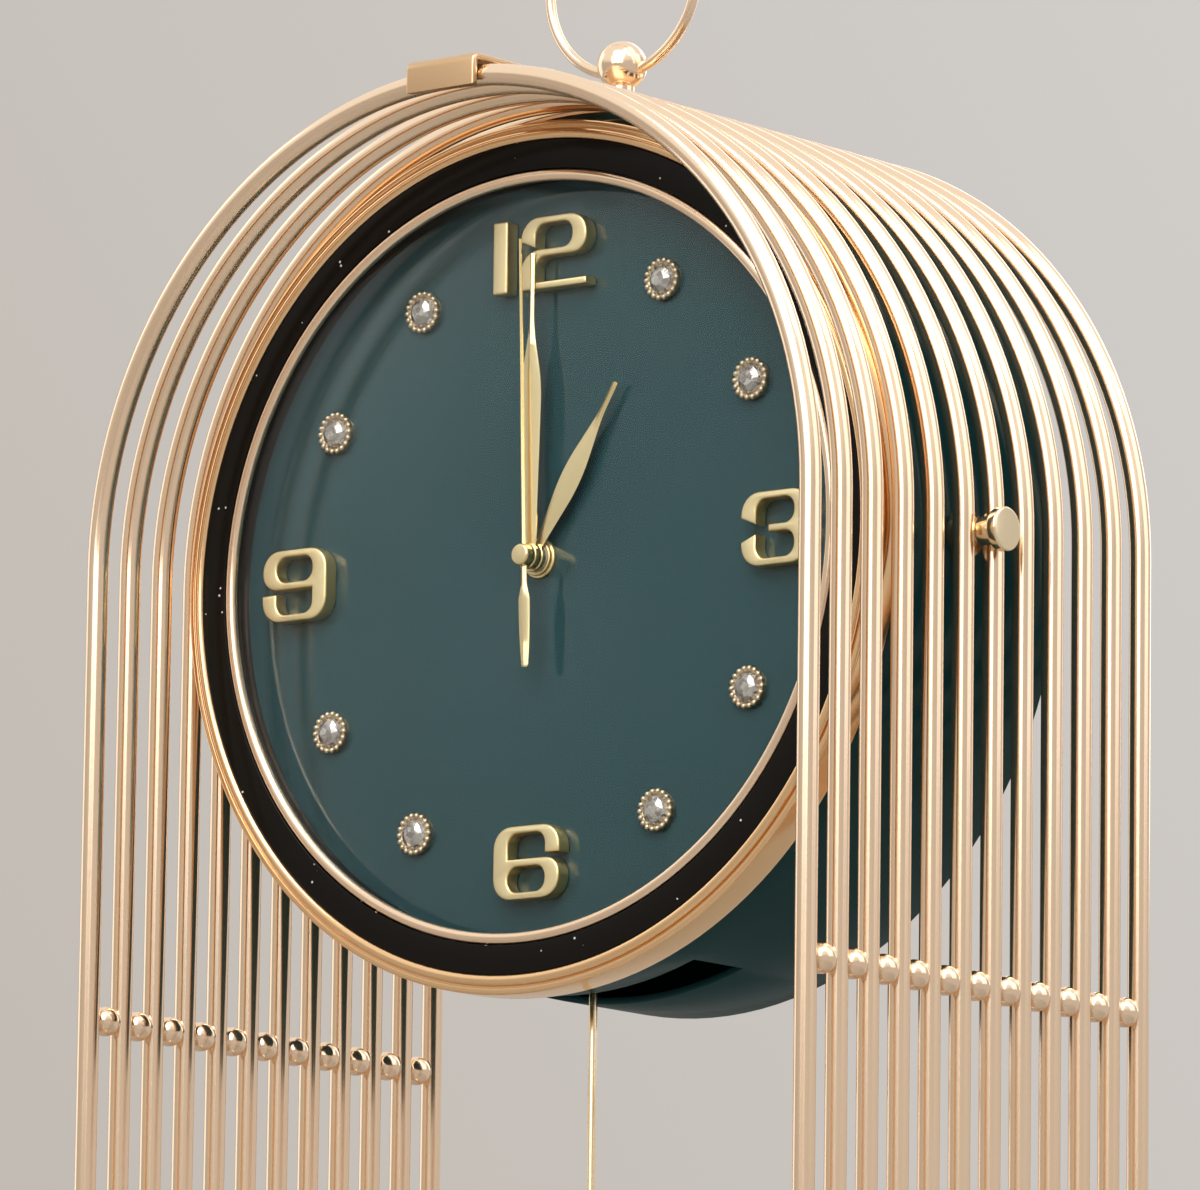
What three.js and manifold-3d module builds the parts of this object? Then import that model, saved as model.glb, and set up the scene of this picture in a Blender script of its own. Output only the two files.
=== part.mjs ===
// Floor clock: a tall cage of bent gilt rods stands on a stone plinth and carries a round drum with a
// dial at its head. A pendulum hangs out of a slot in the drum's underside, inside the cage.
// Millimetres, +Z up. The dial faces -Y, and the origin lies on the floor under the cage's centre.
import * as THREE from "three";
import { mergeVertices } from "three/addons/utils/BufferGeometryUtils.js";
import Module from "manifold-3d";

// Clearance between two pieces that sit on, in or round each other
const FIT = 0.3;

// Cage: equal arches stand one behind the other and are spaced by a row of small balls on each side
const ROD_DIAMETER = 6;
const ROD_COUNT = 12;
const ROD_PITCH = 13.5;
const CAGE_WIDTH = 248.8;
const DIAL_HEIGHT = 1105;
const ARCH_LIFT = 2.4;
const BALL_ROW_DROP = 122.6;
const SOLDER_DEPTH = 0.4;

// Strap over the arches, and the finial with its upright ring
const STRAP_WIDTH = 24;
const STRAP_THICKNESS = 2;
const STRAP_LIP_HEIGHT = 9;
const STRAP_BEND = 2.5;
const FINIAL_BALL_DIAMETER = 14;
const FINIAL_FOOT_DIAMETER = 11;
const FINIAL_FOOT_HEIGHT = 1.4;
const FINIAL_NECK_DIAMETER = 7;
const FINIAL_NECK_HEIGHT = 2.7;
const STUD_DIAMETER = 3;
const STUD_NUT_ACROSS_FLATS = 5.5;
const STUD_NUT_THICKNESS = 2.4;
const RING_RADIUS = 26;
const RING_WIRE_DIAMETER = 3;
const RING_BELOW_BALL_CENTRE = 2.2;

// Drum, inside the cage by a clearance that the bushes of its bolts bridge
const DRUM_CLEARANCE = 3.4;
const DIAL_FACE_Y = -32;
const DIAL_THICKNESS = 1.6;
const DRUM_WALL = 2;
const DRUM_BACK_Y = 46;
const DIAL_LEDGE_WIDTH = 10;
const DIAL_LEDGE_THICKNESS = 2;
const COVER_THICKNESS = 1.5;
const COVER_RECESS = 2.5;
const COVER_LEDGE_WIDTH = 5;
const COVER_LEDGE_THICKNESS = 2;
const COVER_PANEL_INSET = 22;
const COVER_PANEL_DEPTH = 3;

// Glass, its seat and the rings round the dial, which follow each other inwards from the drum's wall
const BEZEL_OVERHANG = 2.5;
const INNER_RING_OVERHANG = 0.8;
const SPACER_WIDTH = 2.8;
const SPACER_DEPTH = 4.6;
const GLASS_THICKNESS = 2;
const GLASS_DOME = 12;
const INNER_RING_WIDTH = 3.1;
const INNER_RING_DEPTH = 1.6;
const BLACK_RING_WIDTH = 8;
const BLACK_RING_THICKNESS = 1;
const BEZEL_WIDTH = 5.2;
const BEZEL_SKIRT_WALL = 1.7;
const BEZEL_FLANGE_THICKNESS = 2.5;
const BEZEL_SKIRT_BACK_Y = -29.5;
const BEZEL_CREST_RISE = 0.7;
const BEZEL_STEP = 1.2;

// Hour marks: raised numerals and jewels on one circle, clear of the dial's edge
const MARK_CLEARANCE = 8.9;
const NUMERAL_WIDTH = 23;
const NUMERAL_HEIGHT = 20.2;
const NUMERAL_THICK = 5.1;
const NUMERAL_THIN = 2;
const NUMERAL_RELIEF = 4.5;
const NUMERAL_CORNER = 6.5;
const NUMERAL_WAIST = 1.3;
const COUNTER_CORNER = 3.2;
const TWELVE_ONE_X = -12;
const TWELVE_TWO_X = 6.7;
const JEWEL_DIAMETER = 12;
const STONE_DIAMETER = 8;
const STONE_TABLE_DIAMETER = 4;
const JEWEL_RIM_HEIGHT = 2;
const JEWEL_HEIGHT = 3.6;

// Movement and hands
const MOVEMENT_WIDTH = 60;
const MOVEMENT_ABOVE = 29;
const MOVEMENT_BELOW = 50;
const MOVEMENT_DEPTH = 16;
const BUSH_DIAMETER = 8;
const BUSH_BORE = 6.4;
const BUSH_BORE_DEPTH = 11;
const DIAL_NUT_DIAMETER = 11;
const DIAL_NUT_THICKNESS = 2;
const HAND_THICKNESS = 0.8;
const HAND_GAP = 0.7;
const HAND_TUBE_WALL = 0.8;
const HAND_CURVE = 6;
const HOUR_HAND_LENGTH = 53.5;
const HOUR_HAND_WIDTH = 8;
const HOUR_HAND_SHOULDER = 24.5;
const HOUR_HAND_ROOT = 1.4;
const HOUR_HAND_NEEDLE = 1.8;
const HOUR_NEEDLE_LENGTH = 10;
const HOUR_HAND_ANGLE = 31.5;
const HOUR_BOSS_DIAMETER = 8.4;
const MINUTE_TIP_CLEARANCE = 20.4;
const MINUTE_HAND_WIDTH = 7.5;
const MINUTE_HAND_SHOULDER = 47.5;
const MINUTE_HAND_ROOT = 4.8;
const MINUTE_HAND_NEEDLE = 1.5;
const MINUTE_NEEDLE_LENGTH = 21;
const MINUTE_BOSS_DIAMETER = 7.2;
const BOSS_PROUD = 0.6;
const SECOND_TIP_CLEARANCE = 16.4;
const SECOND_HAND_WIDTH = 1.4;
const SECOND_TAIL_LENGTH = 31;
const SECOND_PADDLE_LENGTH = 22;
const SECOND_TAIL_WIDTH = 3.8;
const SECOND_HAND_ANGLE = -1.8;
const SECOND_CAP_DIAMETER = 6.2;
const SECOND_CAP_HEIGHT = 2.4;
const SECOND_PIN_DIAMETER = 1.4;
const KNOB_DIAMETER = 16;
const KNOB_THICKNESS = 4;
const KNOB_SHAFT_DIAMETER = 3;
const KNOB_SHAFT_DEPTH = 5;
const BATTERY_DIAMETER = 14.2;
const BATTERY_LENGTH = 50;
const BATTERY_X = 20.5;

// Pendulum, hung on a pin behind the movement
const PIVOT_DROP = 22;
const PIVOT_PIN_DIAMETER = 3;
const PIVOT_HEAD_DIAMETER = 6;
const PIVOT_HEAD_THICKNESS = 1;
const HANGER_GAP = 4.8;
const HANGER_THICKNESS = 4;
const HANGER_WIDTH = 8;
const HANGER_LENGTH = 36;
const ROD_SOCKET_DEPTH = 10;
const PENDULUM_ROD_DIAMETER = 2.3;
const BOB_DROP = 520;
const BOB_DIAMETER = 90;
const BOB_THICKNESS = 16;
const BOB_RIM_THICKNESS = 4;
const BOB_NUT_DIAMETER = 9;
const BOB_NUT_THICKNESS = 6;
const SLOT_WIDTH = 79;
const SLOT_AHEAD = 6;
const SLOT_BEHIND = 15.6;

// Bolts that hold the drum between the middle arches
const BOLT_DIAMETER = 5;
const BOLT_NECK_DIAMETER = 8;
const BOLT_HEAD_DIAMETER = 12;
const BOLT_HEAD_THICKNESS = 3.2;
const BOLT_HEAD_BEVEL = 0.8;
const BOLT_REACH = 9.8;
const BOLT_NUT_ACROSS_FLATS = 8;
const BOLT_NUT_THICKNESS = 4;
const BOLT_BUSH_DIAMETER = 13;

// Base
const FOOT_DIAMETER = 34;
const FOOT_HEIGHT = 5;
const FOOT_INSET = 32;
const PLINTH_MARGIN = 20;
const PLINTH_HEIGHT = 42;
const PLINTH_CORNER = 24;
const PLINTH_BEVEL = 3;
const PLATE_MARGIN = 16;
const PLATE_THICKNESS = 8;
const PLATE_CORNER = 12;

// Number of flats that stand for a full round
const ROD_SIDES = 8;
const BALL_SIDES = 6;
const ARC_STEPS = 12;
const DRUM_SIDES = 36;
const SMALL_SIDES = 16;
const CURVE_STEPS = 4;
const NUT_SIDES = 6;

// Corners of a geometry that lie closer than this are one corner
const SAME_CORNER = 0.001;

const gilt = { color: 0xdec4a0, metalness: 1, roughness: 0.22 };
const greenLacquer = { color: 0x1e2d2e, metalness: 0, roughness: 0.12 };
const dialLacquer = { color: 0x405456, metalness: 0, roughness: 0.35 };
const blackLacquer = { color: 0x14130f, metalness: 0, roughness: 0.15 };
const clearGlass = { color: 0xffffff, metalness: 0, roughness: 0.02, transparent: true, opacity: 0.2 };
const whitePlastic = { color: 0xd8d6d0, metalness: 0, roughness: 0.5 };
const steel = { color: 0xb9bcc0, metalness: 1, roughness: 0.35 };
const batteryFoil = { color: 0x3a5f4a, metalness: 0.3, roughness: 0.4 };
const darkStone = { color: 0x24302c, metalness: 0, roughness: 0.2 };
const rubber = { color: 0x1b1b1b, metalness: 0, roughness: 0.9 };

const wasm = await Module();
wasm.setup();

// A closed geometry as a solid that can be joined and cut.
function solidOf(geometry) {
  const bare = new THREE.BufferGeometry();
  bare.setAttribute("position", geometry.getAttribute("position"));
  if (geometry.index) bare.setIndex(geometry.index);
  const merged = mergeVertices(bare, SAME_CORNER);
  const triVerts = new Uint32Array(merged.index.array);
  const vertProperties = merged.attributes.position.array;
  return new wasm.Manifold(new wasm.Mesh({ numProp: 3, vertProperties, triVerts }));
}

// A solid as a geometry.
function geometryOf(solid) {
  const { numProp, numVert, vertProperties, triVerts } = solid.getMesh();
  const position = new Float32Array(numVert * 3);
  for (let i = 0; i < numVert; i++) {
    position.set(vertProperties.subarray(i * numProp, i * numProp + 3), i * 3);
  }
  const geometry = new THREE.BufferGeometry();
  geometry.setAttribute("position", new THREE.BufferAttribute(position, 3));
  geometry.setIndex(new THREE.BufferAttribute(triVerts, 1));
  geometry.computeVertexNormals();
  return geometry;
}

function join(...geometries) {
  return geometryOf(geometries.map(solidOf).reduce((whole, piece) => whole.add(piece)));
}

function cut(geometry, ...tools) {
  return geometryOf(tools.map(solidOf).reduce((rest, tool) => rest.subtract(tool), solidOf(geometry)));
}

// A body turned about Y from a profile of [radius, y] points that closes on itself or on the axis.
function turned(profile, sides) {
  const points = profile.map(([radius, y]) => new THREE.Vector2(radius, y));
  return new THREE.LatheGeometry(points, sides);
}

// The same about Z and about X, with the profile's second value along that axis.
const turnedUp = (profile, sides) => turned(profile, sides).rotateX(Math.PI / 2);
const turnedAcross = (profile, sides) => turned(profile, sides).rotateZ(-Math.PI / 2);

// Profiles for turning: a plain disc or pin, and a ring with a square section.
const discProfile = (radius, low, high) => [[0, low], [radius, low], [radius, high], [0, high]];
const ringProfile = (inner, outer, low, high) =>
  [[inner, low], [outer, low], [outer, high], [inner, high], [inner, low]];

// A closed outline through corners [x, y, radius], each rounded off by its radius. Two roundings that
// would meet on one edge share it.
function outline(corners, path = new THREE.Shape()) {
  const points = corners.map(([x, y]) => new THREE.Vector2(x, y));
  const radii = corners.map(([, , radius = 0]) => radius);
  corners.forEach((_, i) => {
    const corner = points[i];
    const around = [i + corners.length - 1, i + 1].map((k) => k % corners.length);
    const room = around.map((k) => points[k].distanceTo(corner) / (radii[k] + radii[i] || 1));
    const radius = radii[i] && radii[i] * Math.min(1, ...room);
    const [start, end] = around.map((k) => points[k].clone().sub(corner).setLength(radius).add(corner));
    if (i === 0) path.moveTo(start.x, start.y);
    else path.lineTo(start.x, start.y);
    if (radius > 0) path.quadraticCurveTo(corner.x, corner.y, end.x, end.y);
  });
  path.closePath();
  return path;
}

function rectangle(width, height, corner) {
  const x = width / 2;
  const y = height / 2;
  return outline([[x, -y, corner], [x, y, corner], [-x, y, corner], [-x, -y, corner]]);
}

function polygon(radius, sides) {
  const points = [];
  for (let i = 0; i < sides; i++) {
    const angle = ((i + 0.5) / sides) * 2 * Math.PI;
    points.push(new THREE.Vector2(radius * Math.cos(angle), radius * Math.sin(angle)));
  }
  return points;
}

function extruded(shape, depth) {
  return new THREE.ExtrudeGeometry(shape, { depth, bevelEnabled: false, curveSegments: CURVE_STEPS });
}

// A flat piece whose outline is drawn as seen from the front, from its back face at backY forwards.
function facingFront(shape, depth, backY) {
  return extruded(shape, depth).rotateX(Math.PI / 2).translate(0, backY, 0);
}

function box(xRange, yRange, zRange) {
  const [x, y, z] = [xRange, yRange, zRange].map(([low, high]) => [high - low, (low + high) / 2]);
  return new THREE.BoxGeometry(x[0], y[0], z[0]).translate(x[1], y[1], z[1]);
}

const clock = new THREE.Group();
const head = new THREE.Group();
head.position.z = DIAL_HEIGHT;
clock.add(head);

function add(group, name, geometry, finish) {
  const mesh = new THREE.Mesh(geometry, new THREE.MeshStandardMaterial(finish));
  mesh.name = name;
  group.add(mesh);
  return mesh;
}

// Sizes that several pieces share

const archRadius = CAGE_WIDTH / 2;
// A rod's polygon has the area of its round: its flats lie just inside the round, its corners outside.
const rodTurn = (2 * Math.PI) / ROD_SIDES;
const rodCorner = (ROD_DIAMETER / 2) * Math.sqrt(rodTurn / Math.sin(rodTurn));
const rodFlat = rodCorner * Math.cos(Math.PI / ROD_SIDES);
const rodY = (i) => (i - (ROD_COUNT - 1) / 2) * ROD_PITCH;
const cageDepth = (ROD_COUNT - 1) * ROD_PITCH;
const plinthTop = FOOT_HEIGHT + FIT + PLINTH_HEIGHT;
const plateBottom = plinthTop + FIT;
const drumRadius = archRadius - ROD_DIAMETER / 2 - DRUM_CLEARANCE;
// How far the middle of a flat lies inside the drum's round
const drumSag = drumRadius * (1 - Math.cos(Math.PI / DRUM_SIDES));

// Y levels of the head, from the dial forwards
const spacerFront = DIAL_FACE_Y - FIT - SPACER_DEPTH;
const glassBack = spacerFront - FIT;
const innerRingBack = glassBack - GLASS_THICKNESS - FIT;
const innerRingFront = innerRingBack - INNER_RING_DEPTH;
const blackRingFront = innerRingBack - BLACK_RING_THICKNESS;
const bezelSeat = innerRingBack + FIT;
const bezelFlangeBack = bezelSeat + BEZEL_FLANGE_THICKNESS;
const drumFront = bezelFlangeBack + FIT;
const bezelCrest = blackRingFront - BEZEL_CREST_RISE;

// Y levels of the head, from the dial backwards
const dialBack = DIAL_FACE_Y + DIAL_THICKNESS;
const dialLedgeFront = dialBack + FIT;
const movementFront = dialBack + FIT;
const movementBack = movementFront + MOVEMENT_DEPTH;
const pendulumY = movementBack + HANGER_GAP + HANGER_THICKNESS / 2;
const coverBack = DRUM_BACK_Y - COVER_RECESS;
const coverLedgeBack = coverBack - COVER_THICKNESS - FIT;

// Radii round the dial
const drumBore = drumRadius - DRUM_WALL;
const seatRadius = drumBore - drumSag - FIT;
const bezelOuter = drumRadius + BEZEL_OVERHANG;
const bezelLip = bezelOuter - BEZEL_WIDTH;
const blackRingOuter = bezelLip - FIT;
const blackRingInner = blackRingOuter - BLACK_RING_WIDTH;
const innerRingOuter = blackRingInner - FIT;
const innerRingInner = innerRingOuter - INNER_RING_WIDTH;
const spacerInner = innerRingInner + INNER_RING_OVERHANG;
const spacerOuter = spacerInner + SPACER_WIDTH;
const flangeInner = spacerOuter + FIT;
const glassRadius = spacerOuter - FIT;
const markRadius = spacerInner - MARK_CLEARANCE - NUMERAL_WIDTH / 2;
const minuteHandLength = spacerInner - MINUTE_TIP_CLEARANCE;
const secondHandLength = spacerInner - SECOND_TIP_CLEARANCE;

// Y levels of the hands, from the dial forwards
const dialNutFront = DIAL_FACE_Y - FIT - DIAL_NUT_THICKNESS;
const hourBack = dialNutFront - HAND_GAP;
const hourFront = hourBack - HAND_THICKNESS - BOSS_PROUD;
const minuteBack = hourFront - HAND_GAP;
const minuteFront = minuteBack - HAND_THICKNESS - BOSS_PROUD;
const secondBack = minuteFront - HAND_GAP;

// Cage

// The centre line of one arch: up the left leg, round the half circle and down the right leg. The two
// legs are the first and the last step, and the other steps share the half circle equally.
class ArchLine extends THREE.Curve {
  constructor(legBottom, springing) {
    super();
    this.legBottom = legBottom;
    this.springing = springing;
  }

  getUtoTmapping(share) {
    return share;
  }

  getPoint(share) {
    const step = share * (ARC_STEPS + 2);
    if (step <= 1) {
      const z = THREE.MathUtils.lerp(this.legBottom, this.springing, Math.max(step, 0));
      return new THREE.Vector3(-archRadius, 0, z);
    }
    if (step >= ARC_STEPS + 1) {
      const z = THREE.MathUtils.lerp(this.springing, this.legBottom, Math.min(step - ARC_STEPS - 1, 1));
      return new THREE.Vector3(archRadius, 0, z);
    }
    const angle = (Math.PI * (step - 1)) / ARC_STEPS;
    const height = this.springing + archRadius * Math.sin(angle);
    return new THREE.Vector3(-archRadius * Math.cos(angle), 0, height);
  }
}

function archGeometry() {
  const line = new ArchLine(plateBottom, DIAL_HEIGHT + ARCH_LIFT);
  const section = new THREE.Shape(polygon(rodCorner, ROD_SIDES));
  const options = { steps: ARC_STEPS + 2, extrudePath: line, bevelEnabled: false };
  return new THREE.ExtrudeGeometry(section, options);
}

// The ball behind a leg: soldered to that leg, and clear of the next one by the fit.
function spacerBall(side) {
  const diameter = ROD_PITCH - 2 * rodFlat + SOLDER_DEPTH - FIT;
  const y = rodFlat - SOLDER_DEPTH + diameter / 2;
  const ball = new THREE.SphereGeometry(diameter / 2, BALL_SIDES, BALL_SIDES - 2);
  return ball.translate(side * archRadius, y, DIAL_HEIGHT - BALL_ROW_DROP);
}

for (let i = 0; i < ROD_COUNT; i++) {
  const last = i === ROD_COUNT - 1;
  const geometry = last ? archGeometry() : join(archGeometry(), spacerBall(-1), spacerBall(1));
  const arch = add(clock, `arch_${String(i + 1).padStart(2, "0")}`, geometry, gilt);
  arch.position.y = rodY(i);
}

// Strap, finial and ring

const apex = ARCH_LIFT + archRadius + rodFlat;
const strapUnder = apex + FIT;
const strapTop = strapUnder + STRAP_THICKNESS;
const studRadius = STUD_DIAMETER / 2;
const ballCentre = strapTop + FIT + FINIAL_FOOT_HEIGHT + FINIAL_NECK_HEIGHT + FINIAL_BALL_DIAMETER / 2;

// The strap's side view: a strip over all arches with both ends folded down past the outer ones.
function strapGeometry() {
  const inner = cageDepth / 2 + rodFlat + FIT;
  const outer = inner + STRAP_THICKNESS;
  const lipBottom = strapTop - STRAP_LIP_HEIGHT;
  const innerBend = Math.max(STRAP_BEND - STRAP_THICKNESS, 0);
  const side = outline([
    [-outer, lipBottom],
    [-inner, lipBottom],
    [-inner, strapUnder, innerBend],
    [inner, strapUnder, innerBend],
    [inner, lipBottom],
    [outer, lipBottom],
    [outer, strapTop, STRAP_BEND],
    [-outer, strapTop, STRAP_BEND],
  ]);
  const across = new THREE.Matrix4().makeBasis(
    new THREE.Vector3(0, 1, 0), new THREE.Vector3(0, 0, 1), new THREE.Vector3(1, 0, 0));
  const strip = extruded(side, STRAP_WIDTH).translate(0, 0, -STRAP_WIDTH / 2).applyMatrix4(across);
  const studHole = discProfile(studRadius + FIT, strapUnder - STRAP_THICKNESS, strapTop + STRAP_THICKNESS);
  return cut(strip, turnedUp(studHole, SMALL_SIDES));
}

function ringGeometry(wireRadius) {
  const z = ballCentre - RING_BELOW_BALL_CENTRE + RING_RADIUS;
  const ring = new THREE.TorusGeometry(RING_RADIUS, wireRadius, ROD_SIDES, DRUM_SIDES);
  return ring.rotateX(Math.PI / 2).translate(0, 0, z);
}

// The ball on its foot and stud, with a bore that the ring runs through.
function finialGeometry() {
  const footBottom = strapTop + FIT;
  const neckBottom = footBottom + FINIAL_FOOT_HEIGHT;
  const ballRadius = FINIAL_BALL_DIAMETER / 2;
  const neckRadius = FINIAL_NECK_DIAMETER / 2;
  const nutBottom = strapUnder - FIT - STUD_NUT_THICKNESS;
  const profile = [
    [0, nutBottom],
    [studRadius, nutBottom],
    [studRadius, footBottom],
    [FINIAL_FOOT_DIAMETER / 2, footBottom],
    [FINIAL_FOOT_DIAMETER / 2, neckBottom],
    [neckRadius, neckBottom],
  ];
  const steps = SMALL_SIDES / 2;
  const first = Math.asin(Math.min(neckRadius / ballRadius, 1));
  for (let i = 0; i < steps; i++) {
    const angle = THREE.MathUtils.lerp(first, Math.PI, i / steps);
    profile.push([ballRadius * Math.sin(angle), ballCentre - ballRadius * Math.cos(angle)]);
  }
  profile.push([0, ballCentre + ballRadius]);
  return cut(turnedUp(profile, SMALL_SIDES), ringGeometry(RING_WIRE_DIAMETER / 2 + FIT));
}

// A hexagon nut as a turned ring of flats.
function nutProfile(acrossFlats, boreRadius, low, high) {
  const corner = 1 / Math.cos(Math.PI / NUT_SIDES);
  return ringProfile(boreRadius * corner, (acrossFlats / 2) * corner, low, high);
}

const studNut = nutProfile(
  STUD_NUT_ACROSS_FLATS, studRadius + FIT, strapUnder - FIT - STUD_NUT_THICKNESS, strapUnder - FIT);
add(head, "top_strap", strapGeometry(), gilt);
add(head, "finial_ball", finialGeometry(), gilt);
add(head, "finial_nut", turnedUp(studNut, NUT_SIDES), steel);
add(head, "hanging_ring", ringGeometry(RING_WIRE_DIAMETER / 2), gilt);

// Drum shell and rear cover

const slotFront = pendulumY - SLOT_AHEAD;
const slotBack = pendulumY + SLOT_BEHIND;
const boltRadius = BOLT_DIAMETER / 2;

function drumGeometry() {
  const dialLedge = drumBore - DIAL_LEDGE_WIDTH;
  const coverLedge = drumBore - COVER_LEDGE_WIDTH;
  const shell = turned([
    [drumRadius, drumFront],
    [drumRadius, DRUM_BACK_Y],
    [drumBore, DRUM_BACK_Y],
    [drumBore, coverLedgeBack],
    [coverLedge, coverLedgeBack],
    [coverLedge, coverLedgeBack - COVER_LEDGE_THICKNESS],
    [drumBore, coverLedgeBack - COVER_LEDGE_THICKNESS],
    [drumBore, dialLedgeFront + DIAL_LEDGE_THICKNESS],
    [dialLedge, dialLedgeFront + DIAL_LEDGE_THICKNESS],
    [dialLedge, dialLedgeFront],
    [drumBore, dialLedgeFront],
    [drumBore, drumFront],
    [drumRadius, drumFront],
  ], DRUM_SIDES);
  const slotHalf = SLOT_WIDTH / 2;
  const slot = box([-slotHalf, slotHalf], [slotFront, slotBack], [-archRadius, 0]);
  const boltHoles = turnedAcross(discProfile(boltRadius + FIT, -archRadius, archRadius), SMALL_SIDES);
  return cut(shell, slot, boltHoles);
}

// The cover snaps into the drum's back against its ledge. Its middle is pressed forwards as a panel.
function coverGeometry() {
  const front = coverBack - COVER_THICKNESS;
  const panel = seatRadius - COVER_PANEL_INSET;
  return turned([
    [0, front - COVER_PANEL_DEPTH],
    [panel, front - COVER_PANEL_DEPTH],
    [panel + COVER_PANEL_DEPTH, front],
    [seatRadius, front],
    [seatRadius, coverBack],
    [panel + COVER_PANEL_DEPTH, coverBack],
    [panel, coverBack - COVER_PANEL_DEPTH],
    [0, coverBack - COVER_PANEL_DEPTH],
  ], DRUM_SIDES);
}

add(head, "drum_shell", drumGeometry(), greenLacquer);
add(head, "rear_cover", coverGeometry(), greenLacquer);

// Dial, spacer, glass and rings

const bushRadius = BUSH_DIAMETER / 2;
const dialProfile = ringProfile(bushRadius + FIT, seatRadius, DIAL_FACE_Y, dialBack);
const spacerProfile = ringProfile(spacerInner, spacerOuter, spacerFront, DIAL_FACE_Y - FIT);
add(head, "dial", turned(dialProfile, DRUM_SIDES), dialLacquer);
add(head, "dial_spacer", turned(spacerProfile, DRUM_SIDES), blackLacquer);

// The glass is a shallow dome of even thickness. Its flat rim lies on the spacer, under the inner ring.
function glassGeometry() {
  const domeRadius = innerRingInner - FIT;
  const sphere = (domeRadius ** 2 + GLASS_DOME ** 2) / (2 * GLASS_DOME);
  const steps = CURVE_STEPS;
  const radii = Array.from({ length: steps + 1 }, (_, i) => (domeRadius * i) / steps);
  const rise = (radius) => GLASS_DOME - sphere + Math.sqrt(sphere ** 2 - radius ** 2);
  const side = (level) => [...radii.map((radius) => [radius, level - rise(radius)]), [glassRadius, level]];
  return turned([...side(glassBack - GLASS_THICKNESS), ...side(glassBack).reverse()], DRUM_SIDES);
}

// The bezel is an angle ring: a skirt over the drum's front edge and a flange that carries the two flat
// rings, with a rounded crest between them and a step on the outside.
function bezelGeometry() {
  const bore = bezelOuter - BEZEL_SKIRT_WALL;
  const crest = (bezelLip + bezelOuter) / 2;
  return turned([
    [flangeInner, bezelFlangeBack],
    [flangeInner, bezelSeat],
    [bezelLip, bezelSeat],
    [bezelLip, blackRingFront],
    [crest - BEZEL_STEP, bezelCrest],
    [crest, bezelCrest],
    [bezelOuter - BEZEL_STEP, blackRingFront],
    [bezelOuter - BEZEL_STEP, bezelSeat],
    [bezelOuter, bezelSeat + BEZEL_STEP],
    [bezelOuter, BEZEL_SKIRT_BACK_Y],
    [bore, BEZEL_SKIRT_BACK_Y],
    [bore, bezelFlangeBack],
    [flangeInner, bezelFlangeBack],
  ], DRUM_SIDES);
}

// The inner ring's front is rounded off from its middle.
const innerRingMiddle = (innerRingInner + innerRingOuter) / 2;
const innerRingProfile = [
  [innerRingInner, innerRingBack],
  [innerRingInner, (innerRingBack + innerRingFront) / 2],
  [innerRingMiddle, innerRingFront],
  [innerRingOuter, blackRingFront],
  [innerRingOuter, innerRingBack],
  [innerRingInner, innerRingBack],
];
const blackRingProfile = ringProfile(blackRingInner, blackRingOuter, blackRingFront, innerRingBack);
add(head, "glass", glassGeometry(), clearGlass);
add(head, "bezel", bezelGeometry(), gilt);
add(head, "black_ring", turned(blackRingProfile, DRUM_SIDES), blackLacquer);
add(head, "inner_ring", turned(innerRingProfile, DRUM_SIDES), gilt);

// Numerals: wide figures with thick uprights and thin cross strokes, drawn about their own centres

const figureX = NUMERAL_WIDTH / 2;
const figureZ = NUMERAL_HEIGHT / 2;
const counterX = figureX - NUMERAL_THICK;
const counterZ = figureZ - NUMERAL_THIN;
const barHalf = NUMERAL_THIN / 2;

function figureSix() {
  const shape = outline([
    [figureX, NUMERAL_THIN],
    [figureX, figureZ, NUMERAL_CORNER],
    [-figureX, figureZ, NUMERAL_CORNER],
    [-figureX, -figureZ, NUMERAL_CORNER],
    [figureX, -figureZ, NUMERAL_CORNER],
    [figureX, barHalf, NUMERAL_CORNER],
    [-counterX, barHalf],
    [-counterX, counterZ, COUNTER_CORNER],
    [counterX, counterZ, COUNTER_CORNER],
    [counterX, NUMERAL_THIN],
  ]);
  shape.holes.push(outline([
    [-counterX, -barHalf, COUNTER_CORNER],
    [counterX, -barHalf, COUNTER_CORNER],
    [counterX, -counterZ, COUNTER_CORNER],
    [-counterX, -counterZ, COUNTER_CORNER],
  ], new THREE.Path()));
  return shape;
}

function figureThree() {
  const upper = [
    [-figureX, NUMERAL_THICK / 2 + NUMERAL_WAIST],
    [-figureX, figureZ, NUMERAL_CORNER],
    [figureX, figureZ, NUMERAL_CORNER],
    [figureX, 2 * NUMERAL_WAIST, NUMERAL_WAIST],
    [figureX - NUMERAL_WAIST, 0, NUMERAL_WAIST],
  ];
  const counter = [
    [-counterX, NUMERAL_THICK / 2],
    [-counterX, counterZ, COUNTER_CORNER],
    [counterX, counterZ, COUNTER_CORNER],
    [counterX, barHalf, COUNTER_CORNER],
    [-counterX / 2, barHalf],
  ];
  const mirror = ([x, z, radius]) => [x, -z, radius];
  const lower = upper.slice(0, -1).reverse().map(mirror);
  const lowerCounter = counter.map(mirror);
  return outline([...upper, ...lower, ...lowerCounter, ...counter.reverse()]);
}

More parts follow.
